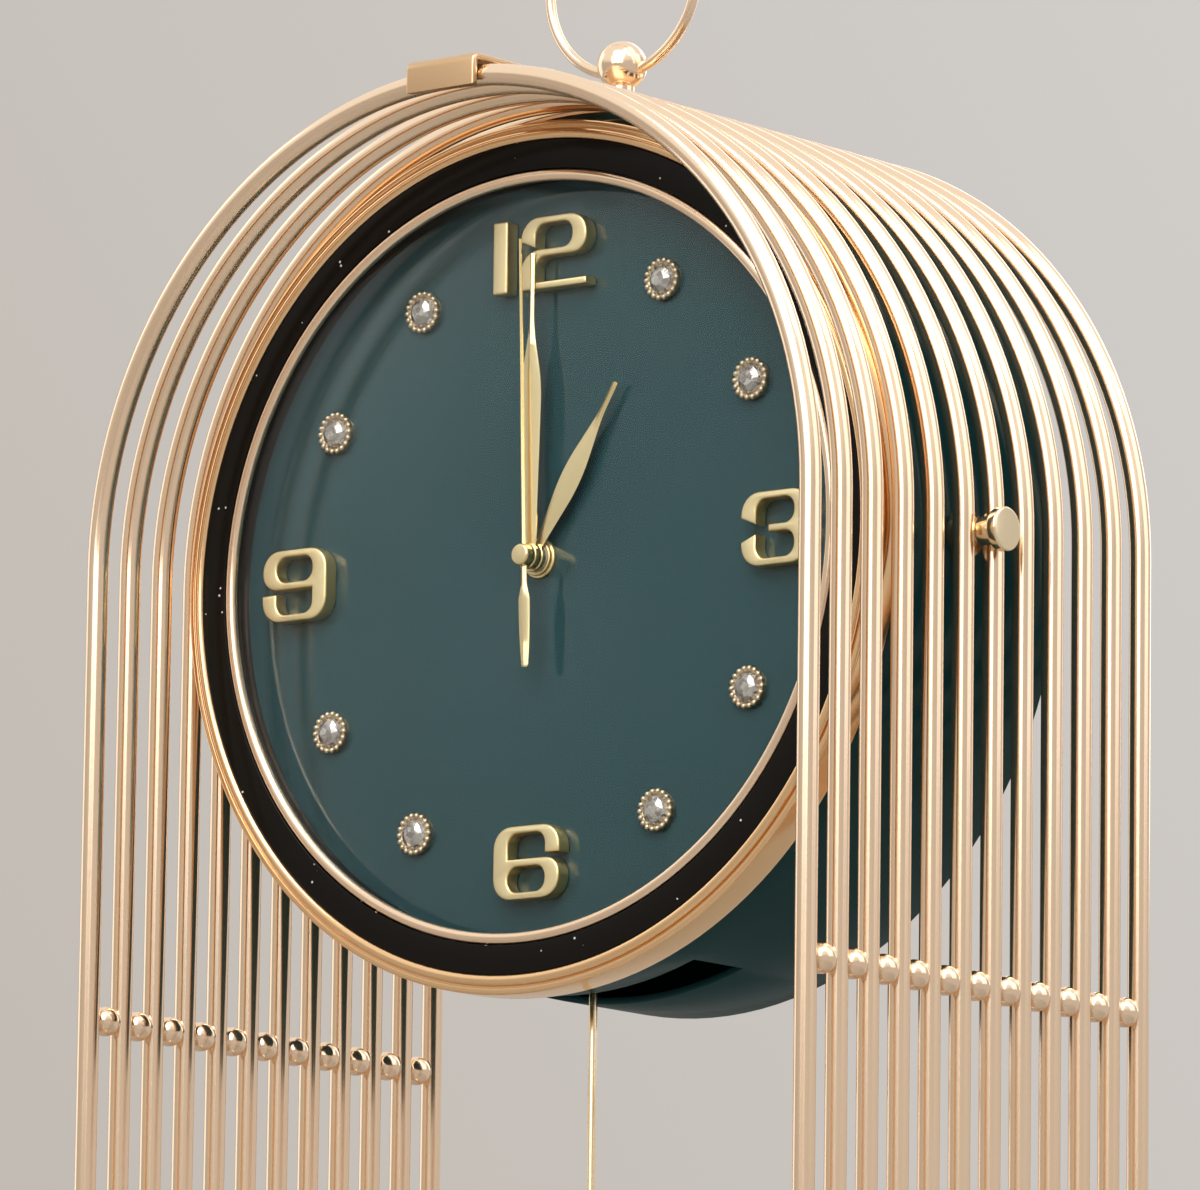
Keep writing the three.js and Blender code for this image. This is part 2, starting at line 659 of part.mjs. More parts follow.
function figureTwo() {
  return outline([
    [-figureX, NUMERAL_THICK / 2 + barHalf],
    [-figureX, figureZ, NUMERAL_CORNER],
    [figureX, figureZ, NUMERAL_CORNER],
    [figureX, -barHalf, NUMERAL_CORNER],
    [-counterX, -barHalf, COUNTER_CORNER],
    [-counterX, -counterZ],
    [figureX, -counterZ],
    [figureX, -figureZ],
    [-figureX, -figureZ],
    [-figureX, barHalf, NUMERAL_CORNER],
    [counterX, barHalf, COUNTER_CORNER],
    [counterX, counterZ, COUNTER_CORNER],
    [-counterX, counterZ, COUNTER_CORNER],
    [-counterX, NUMERAL_THICK / 2 - barHalf],
  ]);
}

function addNumeral(name, shape, x, z, turn = 0) {
  const numeral = add(head, name, facingFront(shape, NUMERAL_RELIEF, 0), gilt);
  numeral.position.set(x, DIAL_FACE_Y - FIT, z);
  numeral.rotation.y = turn;
}

addNumeral("numeral_12_one", rectangle(NUMERAL_THICK, NUMERAL_HEIGHT, 0), TWELVE_ONE_X, markRadius);
addNumeral("numeral_12_two", figureTwo(), TWELVE_TWO_X, markRadius);
addNumeral("numeral_3", figureThree(), markRadius, 0);
addNumeral("numeral_6", figureSix(), 0, -markRadius);
addNumeral("numeral_9", figureSix(), -markRadius, 0, Math.PI);

// Jewels: a round stone in a low setting at each of the other hours

const jewelProfile = [
  [0, 0],
  [JEWEL_DIAMETER / 2, 0],
  [JEWEL_DIAMETER / 2, -JEWEL_RIM_HEIGHT / 2],
  [(JEWEL_DIAMETER + STONE_DIAMETER) / 4, -JEWEL_RIM_HEIGHT],
  [STONE_DIAMETER / 2, -JEWEL_RIM_HEIGHT],
  [STONE_TABLE_DIAMETER / 2, -JEWEL_HEIGHT],
  [0, -JEWEL_HEIGHT],
].reverse();
for (const hour of [1, 2, 4, 5, 7, 8, 10, 11]) {
  const angle = (hour / 12) * 2 * Math.PI;
  const jewelName = `jewel_${String(hour).padStart(2, "0")}`;
  const jewel = add(head, jewelName, turned(jewelProfile, SMALL_SIDES), gilt);
  jewel.position.set(markRadius * Math.sin(angle), DIAL_FACE_Y - FIT, markRadius * Math.cos(angle));
}

// Movement behind the dial, with its bush through the dial

const batteryRadius = BATTERY_DIAMETER / 2;
const batteryY = movementBack - FIT - batteryRadius;
const batteryMiddle = (MOVEMENT_ABOVE - MOVEMENT_BELOW) / 2;
const pivotRadius = PIVOT_PIN_DIAMETER / 2;
const knobShaftRadius = KNOB_SHAFT_DIAMETER / 2;

// The case with its bush and pivot pin, and with the pocket, the bore and the hole that its pieces fill.
function movementGeometry() {
  const half = MOVEMENT_WIDTH / 2;
  const body = box([-half, half], [movementFront, movementBack], [-MOVEMENT_BELOW, MOVEMENT_ABOVE]);
  const bush = turned(discProfile(bushRadius, dialNutFront, movementFront + FIT), SMALL_SIDES);
  const hangerBack = pendulumY + HANGER_THICKNESS / 2;
  const pin = turned([
    [0, movementBack - FIT],
    [pivotRadius, movementBack - FIT],
    [pivotRadius, hangerBack + FIT],
    [PIVOT_HEAD_DIAMETER / 2, hangerBack + FIT],
    [PIVOT_HEAD_DIAMETER / 2, hangerBack + FIT + PIVOT_HEAD_THICKNESS],
    [0, hangerBack + FIT + PIVOT_HEAD_THICKNESS],
  ], SMALL_SIDES).translate(0, 0, -PIVOT_DROP);
  const pocketHalf = BATTERY_LENGTH / 2 + FIT;
  const pocket = box(
    [BATTERY_X - batteryRadius - FIT, BATTERY_X + batteryRadius + FIT],
    [batteryY - batteryRadius - FIT, movementBack + FIT],
    [batteryMiddle - pocketHalf, batteryMiddle + pocketHalf]);
  const bore = turned(
    discProfile(BUSH_BORE / 2, dialNutFront - FIT, dialNutFront + BUSH_BORE_DEPTH), SMALL_SIDES);
  const knobHole = turned(
    discProfile(knobShaftRadius + FIT, movementBack - KNOB_SHAFT_DEPTH - FIT, movementBack + FIT),
    SMALL_SIDES);
  return cut(join(body, bush, pin), pocket, bore, knobHole);
}

const dialNutProfile = ringProfile(
  bushRadius + FIT, DIAL_NUT_DIAMETER / 2, dialNutFront, DIAL_FACE_Y - FIT);
const knobProfile = [
  [0, movementBack - KNOB_SHAFT_DEPTH],
  [knobShaftRadius, movementBack - KNOB_SHAFT_DEPTH],
  [knobShaftRadius, movementBack + FIT],
  [KNOB_DIAMETER / 2, movementBack + FIT],
  [KNOB_DIAMETER / 2, movementBack + FIT + KNOB_THICKNESS],
  [0, movementBack + FIT + KNOB_THICKNESS],
];
const batteryHalf = BATTERY_LENGTH / 2;
const battery = turnedUp(discProfile(batteryRadius, -batteryHalf, batteryHalf), SMALL_SIDES);
add(head, "movement_case", movementGeometry(), whitePlastic);
add(head, "dial_nut", turned(dialNutProfile, SMALL_SIDES), gilt);
add(head, "setting_knob", turned(knobProfile, SMALL_SIDES), whitePlastic);
add(head, "battery", battery, batteryFoil).position.set(BATTERY_X, batteryY, batteryMiddle);

// Hands: each blade has a boss and a tube or pin that runs back inside the tube of the hand behind it

const boreEnd = dialNutFront + BUSH_BORE_DEPTH - FIT;
const hourTubeOuter = BUSH_BORE / 2 - FIT;
const minuteTubeOuter = hourTubeOuter - HAND_TUBE_WALL - FIT;
const pinRadius = SECOND_PIN_DIAMETER / 2;

// A leaf blade that swells from root to shoulder and narrows to a needle, with its bends rounded.
function leafBlade(length, width, shoulder, root, needle, needleLength) {
  const needleStart = length - needleLength;
  return outline([
    [root / 2, 0],
    [width / 2, shoulder, HAND_CURVE],
    [needle / 2, needleStart, HAND_CURVE],
    [needle / 2, length],
    [-needle / 2, length],
    [-needle / 2, needleStart, HAND_CURVE],
    [-width / 2, shoulder, HAND_CURVE],
    [-root / 2, 0],
  ]);
}

function tubeHand(blade, bossDiameter, back, tubeInner, tubeOuter) {
  const front = back - HAND_THICKNESS - BOSS_PROUD;
  const boss = turned(discProfile(bossDiameter / 2, front, back), SMALL_SIDES);
  const tube = turned(discProfile(tubeOuter, back - HAND_THICKNESS / 2, boreEnd), SMALL_SIDES);
  const bore = turned(discProfile(tubeInner, front - FIT, boreEnd + FIT), SMALL_SIDES);
  return cut(join(facingFront(blade, HAND_THICKNESS, back), boss, tube), bore);
}

function secondHandGeometry() {
  const needle = SECOND_HAND_WIDTH / 2;
  const tail = SECOND_TAIL_WIDTH / 2;
  const paddleTop = SECOND_PADDLE_LENGTH - SECOND_TAIL_LENGTH;
  const blade = outline([
    [needle, secondHandLength],
    [-needle, secondHandLength],
    [-needle, paddleTop + tail],
    [-tail, paddleTop, tail / 2],
    [-tail, -SECOND_TAIL_LENGTH, tail],
    [tail, -SECOND_TAIL_LENGTH, tail],
    [tail, paddleTop, tail / 2],
    [needle, paddleTop + tail],
  ]);
  const capProfile = discProfile(SECOND_CAP_DIAMETER / 2, secondBack - SECOND_CAP_HEIGHT, secondBack);
  const cap = turned(capProfile, SMALL_SIDES);
  const pin = turned(discProfile(pinRadius, secondBack - HAND_THICKNESS, boreEnd), ROD_SIDES);
  return join(facingFront(blade, HAND_THICKNESS, secondBack), cap, pin);
}

const hourBlade = leafBlade(
  HOUR_HAND_LENGTH, HOUR_HAND_WIDTH, HOUR_HAND_SHOULDER, HOUR_HAND_ROOT,
  HOUR_HAND_NEEDLE, HOUR_NEEDLE_LENGTH);
const minuteBlade = leafBlade(
  minuteHandLength, MINUTE_HAND_WIDTH, MINUTE_HAND_SHOULDER, MINUTE_HAND_ROOT,
  MINUTE_HAND_NEEDLE, MINUTE_NEEDLE_LENGTH);
const hourTubeInner = minuteTubeOuter + FIT;
const hourHand = tubeHand(hourBlade, HOUR_BOSS_DIAMETER, hourBack, hourTubeInner, hourTubeOuter);
const minuteTubeInner = pinRadius + FIT;
const minuteHand = tubeHand(
  minuteBlade, MINUTE_BOSS_DIAMETER, minuteBack, minuteTubeInner, minuteTubeOuter);
add(head, "hour_hand", hourHand, gilt).rotation.y = THREE.MathUtils.degToRad(HOUR_HAND_ANGLE);
add(head, "minute_hand", minuteHand, gilt);
const secondHand = add(head, "second_hand", secondHandGeometry(), gilt);
secondHand.rotation.y = THREE.MathUtils.degToRad(SECOND_HAND_ANGLE);

// Pendulum

const pendulumRodRadius = PENDULUM_ROD_DIAMETER / 2;
const hangerBottom = -PIVOT_DROP - HANGER_LENGTH;
const bobNutTop = -BOB_DROP - BOB_DIAMETER / 2 - FIT;
const rodTop = hangerBottom + ROD_SOCKET_DEPTH;
const rodBottom = bobNutTop - BOB_NUT_THICKNESS;

// The hanger turns on the pivot pin and takes the rod's top end in a socket.
function hangerGeometry() {
  const half = HANGER_WIDTH / 2;
  const top = -PIVOT_DROP + half;
  const plate = outline([
    [half, hangerBottom],
    [half, top, half],
    [-half, top, half],
    [-half, hangerBottom],
  ]);
  plate.holes.push(new THREE.Path().absarc(0, -PIVOT_DROP, pivotRadius + FIT, 0, 2 * Math.PI, true));
  const body = facingFront(plate, HANGER_THICKNESS, pendulumY + HANGER_THICKNESS / 2);
  const socket = turnedUp(
    discProfile(pendulumRodRadius + FIT, hangerBottom - FIT, rodTop + FIT), ROD_SIDES);
  return cut(body, socket.translate(0, pendulumY, 0));
}

// The bob is a lens with a flat rim, bored from top to bottom for the rod.
function bobGeometry() {
  const radius = BOB_DIAMETER / 2;
  const crown = (BOB_THICKNESS - BOB_RIM_THICKNESS) / 2;
  const front = [];
  for (let i = 0; i <= CURVE_STEPS; i++) {
    const share = i / CURVE_STEPS;
    front.push([radius * share, -BOB_RIM_THICKNESS / 2 - crown * (1 - share ** 2)]);
  }
  const back = front.map(([across, y]) => [across, -y]).reverse();
  const lens = turned([...front, ...back], 2 * SMALL_SIDES).translate(0, pendulumY, -BOB_DROP);
  const bore = turnedUp(
    discProfile(pendulumRodRadius + FIT, -BOB_DROP - BOB_DIAMETER, -BOB_DROP + BOB_DIAMETER), ROD_SIDES);
  return cut(lens, bore.translate(0, pendulumY, 0));
}

const rodProfile = discProfile(pendulumRodRadius, rodBottom, rodTop);
const bobNutProfile = ringProfile(pendulumRodRadius + FIT, BOB_NUT_DIAMETER / 2, rodBottom, bobNutTop);
add(head, "pendulum_hanger", hangerGeometry(), whitePlastic);
add(head, "pendulum_rod", turnedUp(rodProfile, ROD_SIDES), gilt).position.y = pendulumY;
add(head, "pendulum_bob", bobGeometry(), gilt);
add(head, "bob_nut", turnedUp(bobNutProfile, SMALL_SIDES), gilt).position.y = pendulumY;

// Side bolts: each goes through the gap between the middle arches and a bush into the drum's wall

const neckRadius = BOLT_NECK_DIAMETER / 2;
const neckSink = Math.max(rodCorner ** 2 - (ROD_PITCH / 2 - neckRadius) ** 2, 0);
const neckSeat = archRadius + Math.sqrt(neckSink) + FIT;
const headFace = archRadius + BOLT_REACH;
const nutOuter = drumBore - drumSag - 2 * FIT;
const nutInner = nutOuter - BOLT_NUT_THICKNESS;
const boltProfile = [
  [0, nutInner],
  [boltRadius, nutInner],
  [boltRadius, neckSeat],
  [neckRadius, neckSeat],
  [neckRadius, headFace - BOLT_HEAD_THICKNESS],
  [BOLT_HEAD_DIAMETER / 2 - BOLT_HEAD_BEVEL, headFace - BOLT_HEAD_THICKNESS],
  [BOLT_HEAD_DIAMETER / 2, headFace - BOLT_HEAD_THICKNESS + BOLT_HEAD_BEVEL],
  [BOLT_HEAD_DIAMETER / 2, headFace - BOLT_HEAD_BEVEL],
  [BOLT_HEAD_DIAMETER / 2 - BOLT_HEAD_BEVEL, headFace],
  [0, headFace],
];
const boltBushProfile = ringProfile(
  boltRadius + FIT, BOLT_BUSH_DIAMETER / 2, drumRadius + FIT, archRadius - rodFlat - FIT);
const boltNutProfile = nutProfile(BOLT_NUT_ACROSS_FLATS, boltRadius + FIT, nutInner, nutOuter);
for (const [side, turn] of [["right", 0], ["left", Math.PI]]) {
  const fixing = new THREE.Group();
  fixing.rotation.z = turn;
  head.add(fixing);
  add(fixing, `side_bolt_${side}`, turnedAcross(boltProfile, SMALL_SIDES), gilt);
  add(fixing, `side_bush_${side}`, turnedAcross(boltBushProfile, SMALL_SIDES), gilt);
  add(fixing, `side_nut_${side}`, turnedAcross(boltNutProfile, NUT_SIDES), steel);
}

// Base: drilled plate, stone plinth and feet

const plateWidth = CAGE_WIDTH + 2 * PLATE_MARGIN;
const plateDepth = cageDepth + 2 * PLATE_MARGIN;
const plinthWidth = plateWidth + 2 * PLINTH_MARGIN;
const plinthDepth = plateDepth + 2 * PLINTH_MARGIN;

// Every leg goes through the plate and stands on the plinth.
function plateGeometry() {
  const plate = rectangle(plateWidth, plateDepth, PLATE_CORNER);
  const holeCorner = (rodFlat + FIT) / Math.cos(Math.PI / ROD_SIDES);
  for (let i = 0; i < ROD_COUNT; i++) {
    for (const side of [-1, 1]) {
      const place = new THREE.Vector2(side * archRadius, rodY(i));
      const hole = polygon(holeCorner, ROD_SIDES).map((point) => point.add(place));
      plate.holes.push(new THREE.Path(hole));
    }
  }
  return extruded(plate, PLATE_THICKNESS).translate(0, 0, plateBottom);
}

function plinthGeometry() {
  const block = new THREE.ExtrudeGeometry(rectangle(plinthWidth, plinthDepth, PLINTH_CORNER), {
    depth: PLINTH_HEIGHT - 2 * PLINTH_BEVEL,
    bevelThickness: PLINTH_BEVEL,
    bevelSize: PLINTH_BEVEL,
    bevelOffset: -PLINTH_BEVEL,
    bevelSegments: 1,
    curveSegments: CURVE_STEPS,
  });
  return block.translate(0, 0, FOOT_HEIGHT + FIT + PLINTH_BEVEL);
}

add(clock, "base_plate", plateGeometry(), gilt);
add(clock, "plinth", plinthGeometry(), darkStone);
for (const [row, ySide] of [["front", -1], ["back", 1]]) {
  for (const [column, xSide] of [["left", -1], ["right", 1]]) {
    const foot = turnedUp(discProfile(FOOT_DIAMETER / 2, 0, FOOT_HEIGHT), SMALL_SIDES);
    add(clock, `foot_${row}_${column}`, foot, rubber).position.set(
      xSide * (plinthWidth / 2 - FOOT_INSET), ySide * (plinthDepth / 2 - FOOT_INSET), 0);
  }
}

export default clock;
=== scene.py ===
"""Looks of the floor clock: smooth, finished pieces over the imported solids, with its studio and camera."""

import math

import bmesh
import bpy
from mathutils import Matrix, Vector


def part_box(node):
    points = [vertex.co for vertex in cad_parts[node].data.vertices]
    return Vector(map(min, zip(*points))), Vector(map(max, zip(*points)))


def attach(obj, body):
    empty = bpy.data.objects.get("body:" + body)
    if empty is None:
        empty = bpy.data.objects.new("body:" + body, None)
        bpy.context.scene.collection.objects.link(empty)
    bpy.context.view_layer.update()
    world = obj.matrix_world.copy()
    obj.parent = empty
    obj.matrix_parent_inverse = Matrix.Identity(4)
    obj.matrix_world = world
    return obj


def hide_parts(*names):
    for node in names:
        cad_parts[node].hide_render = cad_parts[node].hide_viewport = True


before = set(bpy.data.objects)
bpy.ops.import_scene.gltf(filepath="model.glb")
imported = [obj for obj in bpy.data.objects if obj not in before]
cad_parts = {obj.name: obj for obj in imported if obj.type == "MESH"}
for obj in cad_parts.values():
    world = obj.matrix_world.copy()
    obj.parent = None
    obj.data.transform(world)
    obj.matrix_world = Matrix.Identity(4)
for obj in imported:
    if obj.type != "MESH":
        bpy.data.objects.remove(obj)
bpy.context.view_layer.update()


# Camera: it stands right of the clock and below its dial, and looks up at the head through a long lens,
# which keeps the upright rods almost parallel, as in the photograph.
MM = 0.001
CAMERA_PLACE = Vector((1759.45, -2203.40, 631.27)) * MM
CAMERA_YAW = math.radians(38.693)
CAMERA_PITCH = math.radians(9.4269)
CAMERA_ROLL = math.radians(0.7598)
CAMERA_LENS = 311.313

scene = bpy.context.scene
scene.view_settings.view_transform = "Standard"
camera = bpy.data.objects.new("camera", bpy.data.cameras.new("camera"))
camera.data.lens = CAMERA_LENS
camera.matrix_world = (
    Matrix.Translation(CAMERA_PLACE)
    @ Matrix.Rotation(CAMERA_YAW, 4, "Z")
    @ Matrix.Rotation(math.pi / 2 + CAMERA_PITCH, 4, "X")
    @ Matrix.Rotation(CAMERA_ROLL, 4, "Z")
)
scene.collection.objects.link(camera)
scene.camera = camera


# Studio: a light tent. White cloth hangs overhead and comes down lower in front, graded warm grey paper
# stands all round, and the pale painted floor runs up into the paper. Six flat lamps shine on the dial
# from the front, from above, from the right, from the left and from behind.
BACKDROP_SHADE = "#C2BBB3"
BACKDROP_LIGHT = "#D1CDC9"
BACKDROP_SLOPE = Vector((0.721, 0.471, 0.501))  # towards the upper right of the picture
BACKDROP_SPREAD = 0.08
TENT_WHITE = "#FFFDF8"
TENT_LEAN = Vector((0, -0.18, 1))  # up and a little to the front
TENT_FOOT = 0.24
TENT_TOP = 0.5
FILL_LEVEL = 0.15
FLOOR_GREY = "#CBC6BF"
FLOOR_SIZE = 9.0
FLOOR_GRAIN = 3 * MM
SWEEP_NEAR = 0.7
SWEEP_FAR = 3.2


def linear(code):
    """The linear colour of an sRGB hex code."""
    parts = [int(code[i : i + 2], 16) / 255 for i in (1, 3, 5)]
    return tuple(p / 12.92 if p <= 0.04045 else ((p + 0.055) / 1.055) ** 2.4 for p in parts) + (1.0,)


def add_node(tree, kind, inputs=None, **settings):
    """Adds a node; inputs gives each socket either a value or the socket that feeds it."""
    node = tree.nodes.new(kind)
    for name, value in settings.items():
        setattr(node, name, value)
    for socket, value in (inputs or {}).items():
        if isinstance(value, bpy.types.NodeSocket):
            tree.links.new(value, node.inputs[socket])
        else:
            node.inputs[socket].default_value = value
    return node


def seen_rays(tree):
    """1 for the rays that show a surface to the eye, straight or in metal and glass, and 0 for its light."""
    rays = add_node(tree, "ShaderNodeLightPath").outputs
    seen = rays["Is Camera Ray"]
    for ray in ("Is Glossy Ray", "Is Transmission Ray"):
        seen = add_node(tree, "ShaderNodeMath", {0: seen, 1: rays[ray]}, operation="MAXIMUM").outputs[0]
    return seen


def paper_tone(tree, direction):
    """The backdrop paper's colour in a direction from the clock."""
    slope = {0: direction, 1: BACKDROP_SLOPE}
    across = add_node(tree, "ShaderNodeVectorMath", slope, operation="DOT_PRODUCT")
    limits = {"From Min": -BACKDROP_SPREAD, "From Max": BACKDROP_SPREAD}
    grade = add_node(tree, "ShaderNodeMapRange", {"Value": across.outputs["Value"], **limits})
    shades = {0: grade.outputs[0], 6: linear(BACKDROP_SHADE), 7: linear(BACKDROP_LIGHT)}
    return add_node(tree, "ShaderNodeMix", shades, data_type="RGBA").outputs[2]


# The tent lights the clock only weakly, but the camera, the metal and the glass see it at full brightness.
room = bpy.data.worlds.new("warm_grey_room")
room.use_nodes = True
scene.world = room
tree = room.node_tree
tree.nodes.clear()
direction = add_node(tree, "ShaderNodeTexCoord").outputs["Generated"]
height = add_node(tree, "ShaderNodeVectorMath", {0: direction, 1: TENT_LEAN}, operation="DOT_PRODUCT")
limits = {"Value": height.outputs["Value"], "From Min": TENT_FOOT, "From Max": TENT_TOP}
rise = add_node(tree, "ShaderNodeMapRange", limits, interpolation_type="SMOOTHSTEP")
shades = {0: rise.outputs[0], 6: paper_tone(tree, direction), 7: linear(TENT_WHITE)}
tent = add_node(tree, "ShaderNodeMix", shades, data_type="RGBA")
bright = add_node(tree, "ShaderNodeBackground", {"Color": tent.outputs[2]})
fill = add_node(tree, "ShaderNodeBackground", {"Strength": FILL_LEVEL})
mixed = add_node(tree, "ShaderNodeMixShader", {0: seen_rays(tree), 1: fill.outputs[0], 2: bright.outputs[0]})
add_node(tree, "ShaderNodeOutputWorld", {"Surface": mixed.outputs[0]})


def new_finish(name, sockets=None):
    """A material of one shader with the given socket values."""
    finish = bpy.data.materials.new(name)
    finish.use_nodes = True
    shader = finish.node_tree.nodes["Principled BSDF"]
    for socket, value in (sockets or {}).items():
        shader.inputs[socket].default_value = value
    return finish


def roughen(finish, grain, strength, depth, socket="Normal"):
    """Gives a finish a relief with grains of one size and depth."""
    tree = finish.node_tree
    place = add_node(tree, "ShaderNodeTexCoord").outputs["Object"]
    noise = add_node(tree, "ShaderNodeTexNoise", {"Vector": place, "Scale": 1 / grain})
    relief = {"Height": noise.outputs["Fac"], "Strength": strength, "Distance": depth}
    bump = add_node(tree, "ShaderNodeBump", relief)
    tree.links.new(bump.outputs["Normal"], tree.nodes["Principled BSDF"].inputs[socket])


# Matt paint is even and pale, with a faint roller grain. Further out it turns into the backdrop's paper,
# so that no edge shows between the two.
painted_floor = new_finish("matt_floor_paint", {"Base Color": linear(FLOOR_GREY), "Roughness": 0.7})
roughen(painted_floor, FLOOR_GRAIN, strength=0.1, depth=1 * MM)
tree = painted_floor.node_tree
place = add_node(tree, "ShaderNodeTexCoord").outputs["Object"]
reach = add_node(tree, "ShaderNodeVectorMath", {0: place}, operation="LENGTH")
limits = {"Value": reach.outputs["Value"], "From Min": SWEEP_NEAR, "From Max": SWEEP_FAR}
sweep = add_node(tree, "ShaderNodeMapRange", limits, interpolation_type="SMOOTHSTEP")
share = add_node(tree, "ShaderNodeMath", {0: sweep.outputs[0], 1: seen_rays(tree)}, operation="MULTIPLY")
outwards = add_node(tree, "ShaderNodeVectorMath", {0: place}, operation="NORMALIZE")
paper = add_node(tree, "ShaderNodeEmission", {"Color": paper_tone(tree, outwards.outputs["Vector"])})
paint = tree.nodes["Principled BSDF"].outputs[0]
mixed = add_node(tree, "ShaderNodeMixShader", {0: share.outputs[0], 1: paint, 2: paper.outputs[0]})
tree.links.new(mixed.outputs[0], tree.nodes["Material Output"].inputs["Surface"])

half_floor = FLOOR_SIZE / 2
floor_corners = [(-half_floor, -half_floor, 0), (half_floor, -half_floor, 0)]
floor_corners += [(half_floor, half_floor, 0), (-half_floor, half_floor, 0)]
floor_mesh = bpy.data.meshes.new("floor")
floor_mesh.from_pydata(floor_corners, [], [(0, 1, 2, 3)])
floor_mesh.materials.append(painted_floor)
floor = bpy.data.objects.new("floor", floor_mesh)
scene.collection.objects.link(floor)

dial_low, dial_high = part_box("dial")
dial_centre = (dial_low + dial_high) / 2


def softbox(name, bearing, height, distance, width, tall, watts):
    """A flat lamp aimed at the dial; bearing is its angle from straight ahead towards the right."""
    lamp = bpy.data.lights.new(name, "AREA")
    lamp.shape = "RECTANGLE"
    lamp.size = width
    lamp.size_y = tall
    lamp.energy = watts
    stand = bpy.data.objects.new(name, lamp)
    angle = math.radians(bearing)
    stand.location = (distance * math.sin(angle), -distance * math.cos(angle), height)
    stand.rotation_euler = (dial_centre - stand.location).to_track_quat("-Z", "Y").to_euler()
    stand.visible_camera = False
    scene.collection.objects.link(stand)


softbox("key_lamp", bearing=15, height=2.25, distance=2.7, width=2.7, tall=1.6, watts=30)
softbox("top_lamp", bearing=22, height=3.4, distance=1.9, width=2.3, tall=1.5, watts=56)
softbox("right_lamp", bearing=95, height=3.7, distance=1.5, width=2.2, tall=2.0, watts=14)
softbox("rim_lamp", bearing=112, height=2.45, distance=2.7, width=2.4, tall=2.0, watts=14)
softbox("left_lamp", bearing=-85, height=1.7, distance=2.6, width=1.4, tall=2.4, watts=9)
softbox("back_lamp", bearing=190, height=2.3, distance=2.8, width=2.2, tall=1.8, watts=18)


# Feet: four round pads of black rubber under the plinth's corners, moulded with a rounded edge and glued
# into its underside.
FOOT_EDGE = 1.2 * MM
FOOT_RUBBER = "#1B1B1A"
RUBBER_GRAIN = 0.8 * MM  # coarser than real moulded rubber, so that it shows
CORNER_STEPS = 6
ROUND_STEPS = 48
WELD = 1e-6
SHARP_EDGE = math.radians(32)


def spread(finish, share, spans):
    """Runs each socket in spans from its first to its second value as the share goes from 0 to 1."""
    tree = finish.node_tree
    for socket, (start, end) in spans.items():
        if isinstance(start, str):
            tones = {0: share, 6: linear(start), 7: linear(end)}
            value = add_node(tree, "ShaderNodeMix", tones, data_type="RGBA").outputs[2]
        else:
            limits = {"Value": share, "To Min": start, "To Max": end}
            value = add_node(tree, "ShaderNodeMapRange", limits).outputs[0]
        tree.links.new(value, tree.nodes["Principled BSDF"].inputs[socket])


def mottled(name, patch, spans, sockets=None, detail=2.0):
    """A finish in which each socket in spans drifts between two values over patches of one size."""
    finish = new_finish(name, sockets)
    tree = finish.node_tree
    place = add_node(tree, "ShaderNodeTexCoord").outputs["Object"]
    noise = add_node(tree, "ShaderNodeTexNoise", {"Vector": place, "Scale": 1 / patch, "Detail": detail})
    spread(finish, noise.outputs["Fac"], spans)
    return finish


def rounded(corners, steps=CORNER_STEPS):
    """A closed outline through corners (x, y, radius), each turned into an arc of that radius."""
    points = []
    for i, (x, y, radius) in enumerate(corners):
        corner = Vector((x, y))
        if radius == 0:
            points.append(corner)
            continue
        back = (Vector(corners[i - 1][:2]) - corner).normalized()
        ahead = (Vector(corners[(i + 1) % len(corners)][:2]) - corner).normalized()
        half = back.angle(ahead) / 2
        middle = corner + (back + ahead).normalized() * radius / math.sin(half)
        spoke = corner + back * radius / math.tan(half) - middle
        turn = math.copysign(math.pi - 2 * half, ahead.x * back.y - ahead.y * back.x)
        for step in range(steps + 1):
            points.append(middle + Matrix.Rotation(turn * step / steps, 2) @ spoke)
    return points


def turned(profile, steps=ROUND_STEPS):
    """A lathe shape about Z from the closed profile (radius, height)."""
    points = []
    rings = []
    for radius, height in profile:
        count = 1 if radius < WELD else steps
        rings.append([len(points) + i for i in range(count)])
        for i in range(count):
            angle = 2 * math.pi * i / steps
            points.append(Vector((radius * math.cos(angle), radius * math.sin(angle), height)))
    faces = []
    for ring, other in zip(rings, rings[1:] + rings[:1]):
        for i in range(max(len(ring), len(other))):
            j = i + 1
            face = [ring[i % len(ring)], ring[j % len(ring)], other[j % len(other)], other[i % len(other)]]
            face = list(dict.fromkeys(face))
            if len(face) > 2:
                faces.append(face)
    return points, faces


def lathed(corners, steps=ROUND_STEPS):
    """A lathe shape about Z whose section has the corners (radius, height, rounding)."""
    return turned(rounded(corners), steps)


def stacked(bore, start, *lengths):
    """A stepped bar along Z, bored through; each length is (radius, end, first edge, last edge)."""
    corners = [(bore, start, 0)]
    for radius, end, first_edge, last_edge in lengths:
        corners += [(radius, start, first_edge), (radius, end, last_edge)]
        start = end
    return lathed(corners + [(bore, start, 0)])


def moved(shape, matrix):
    """The shape carried to another place."""
    points, faces = shape
    return [matrix @ point for point in points], faces


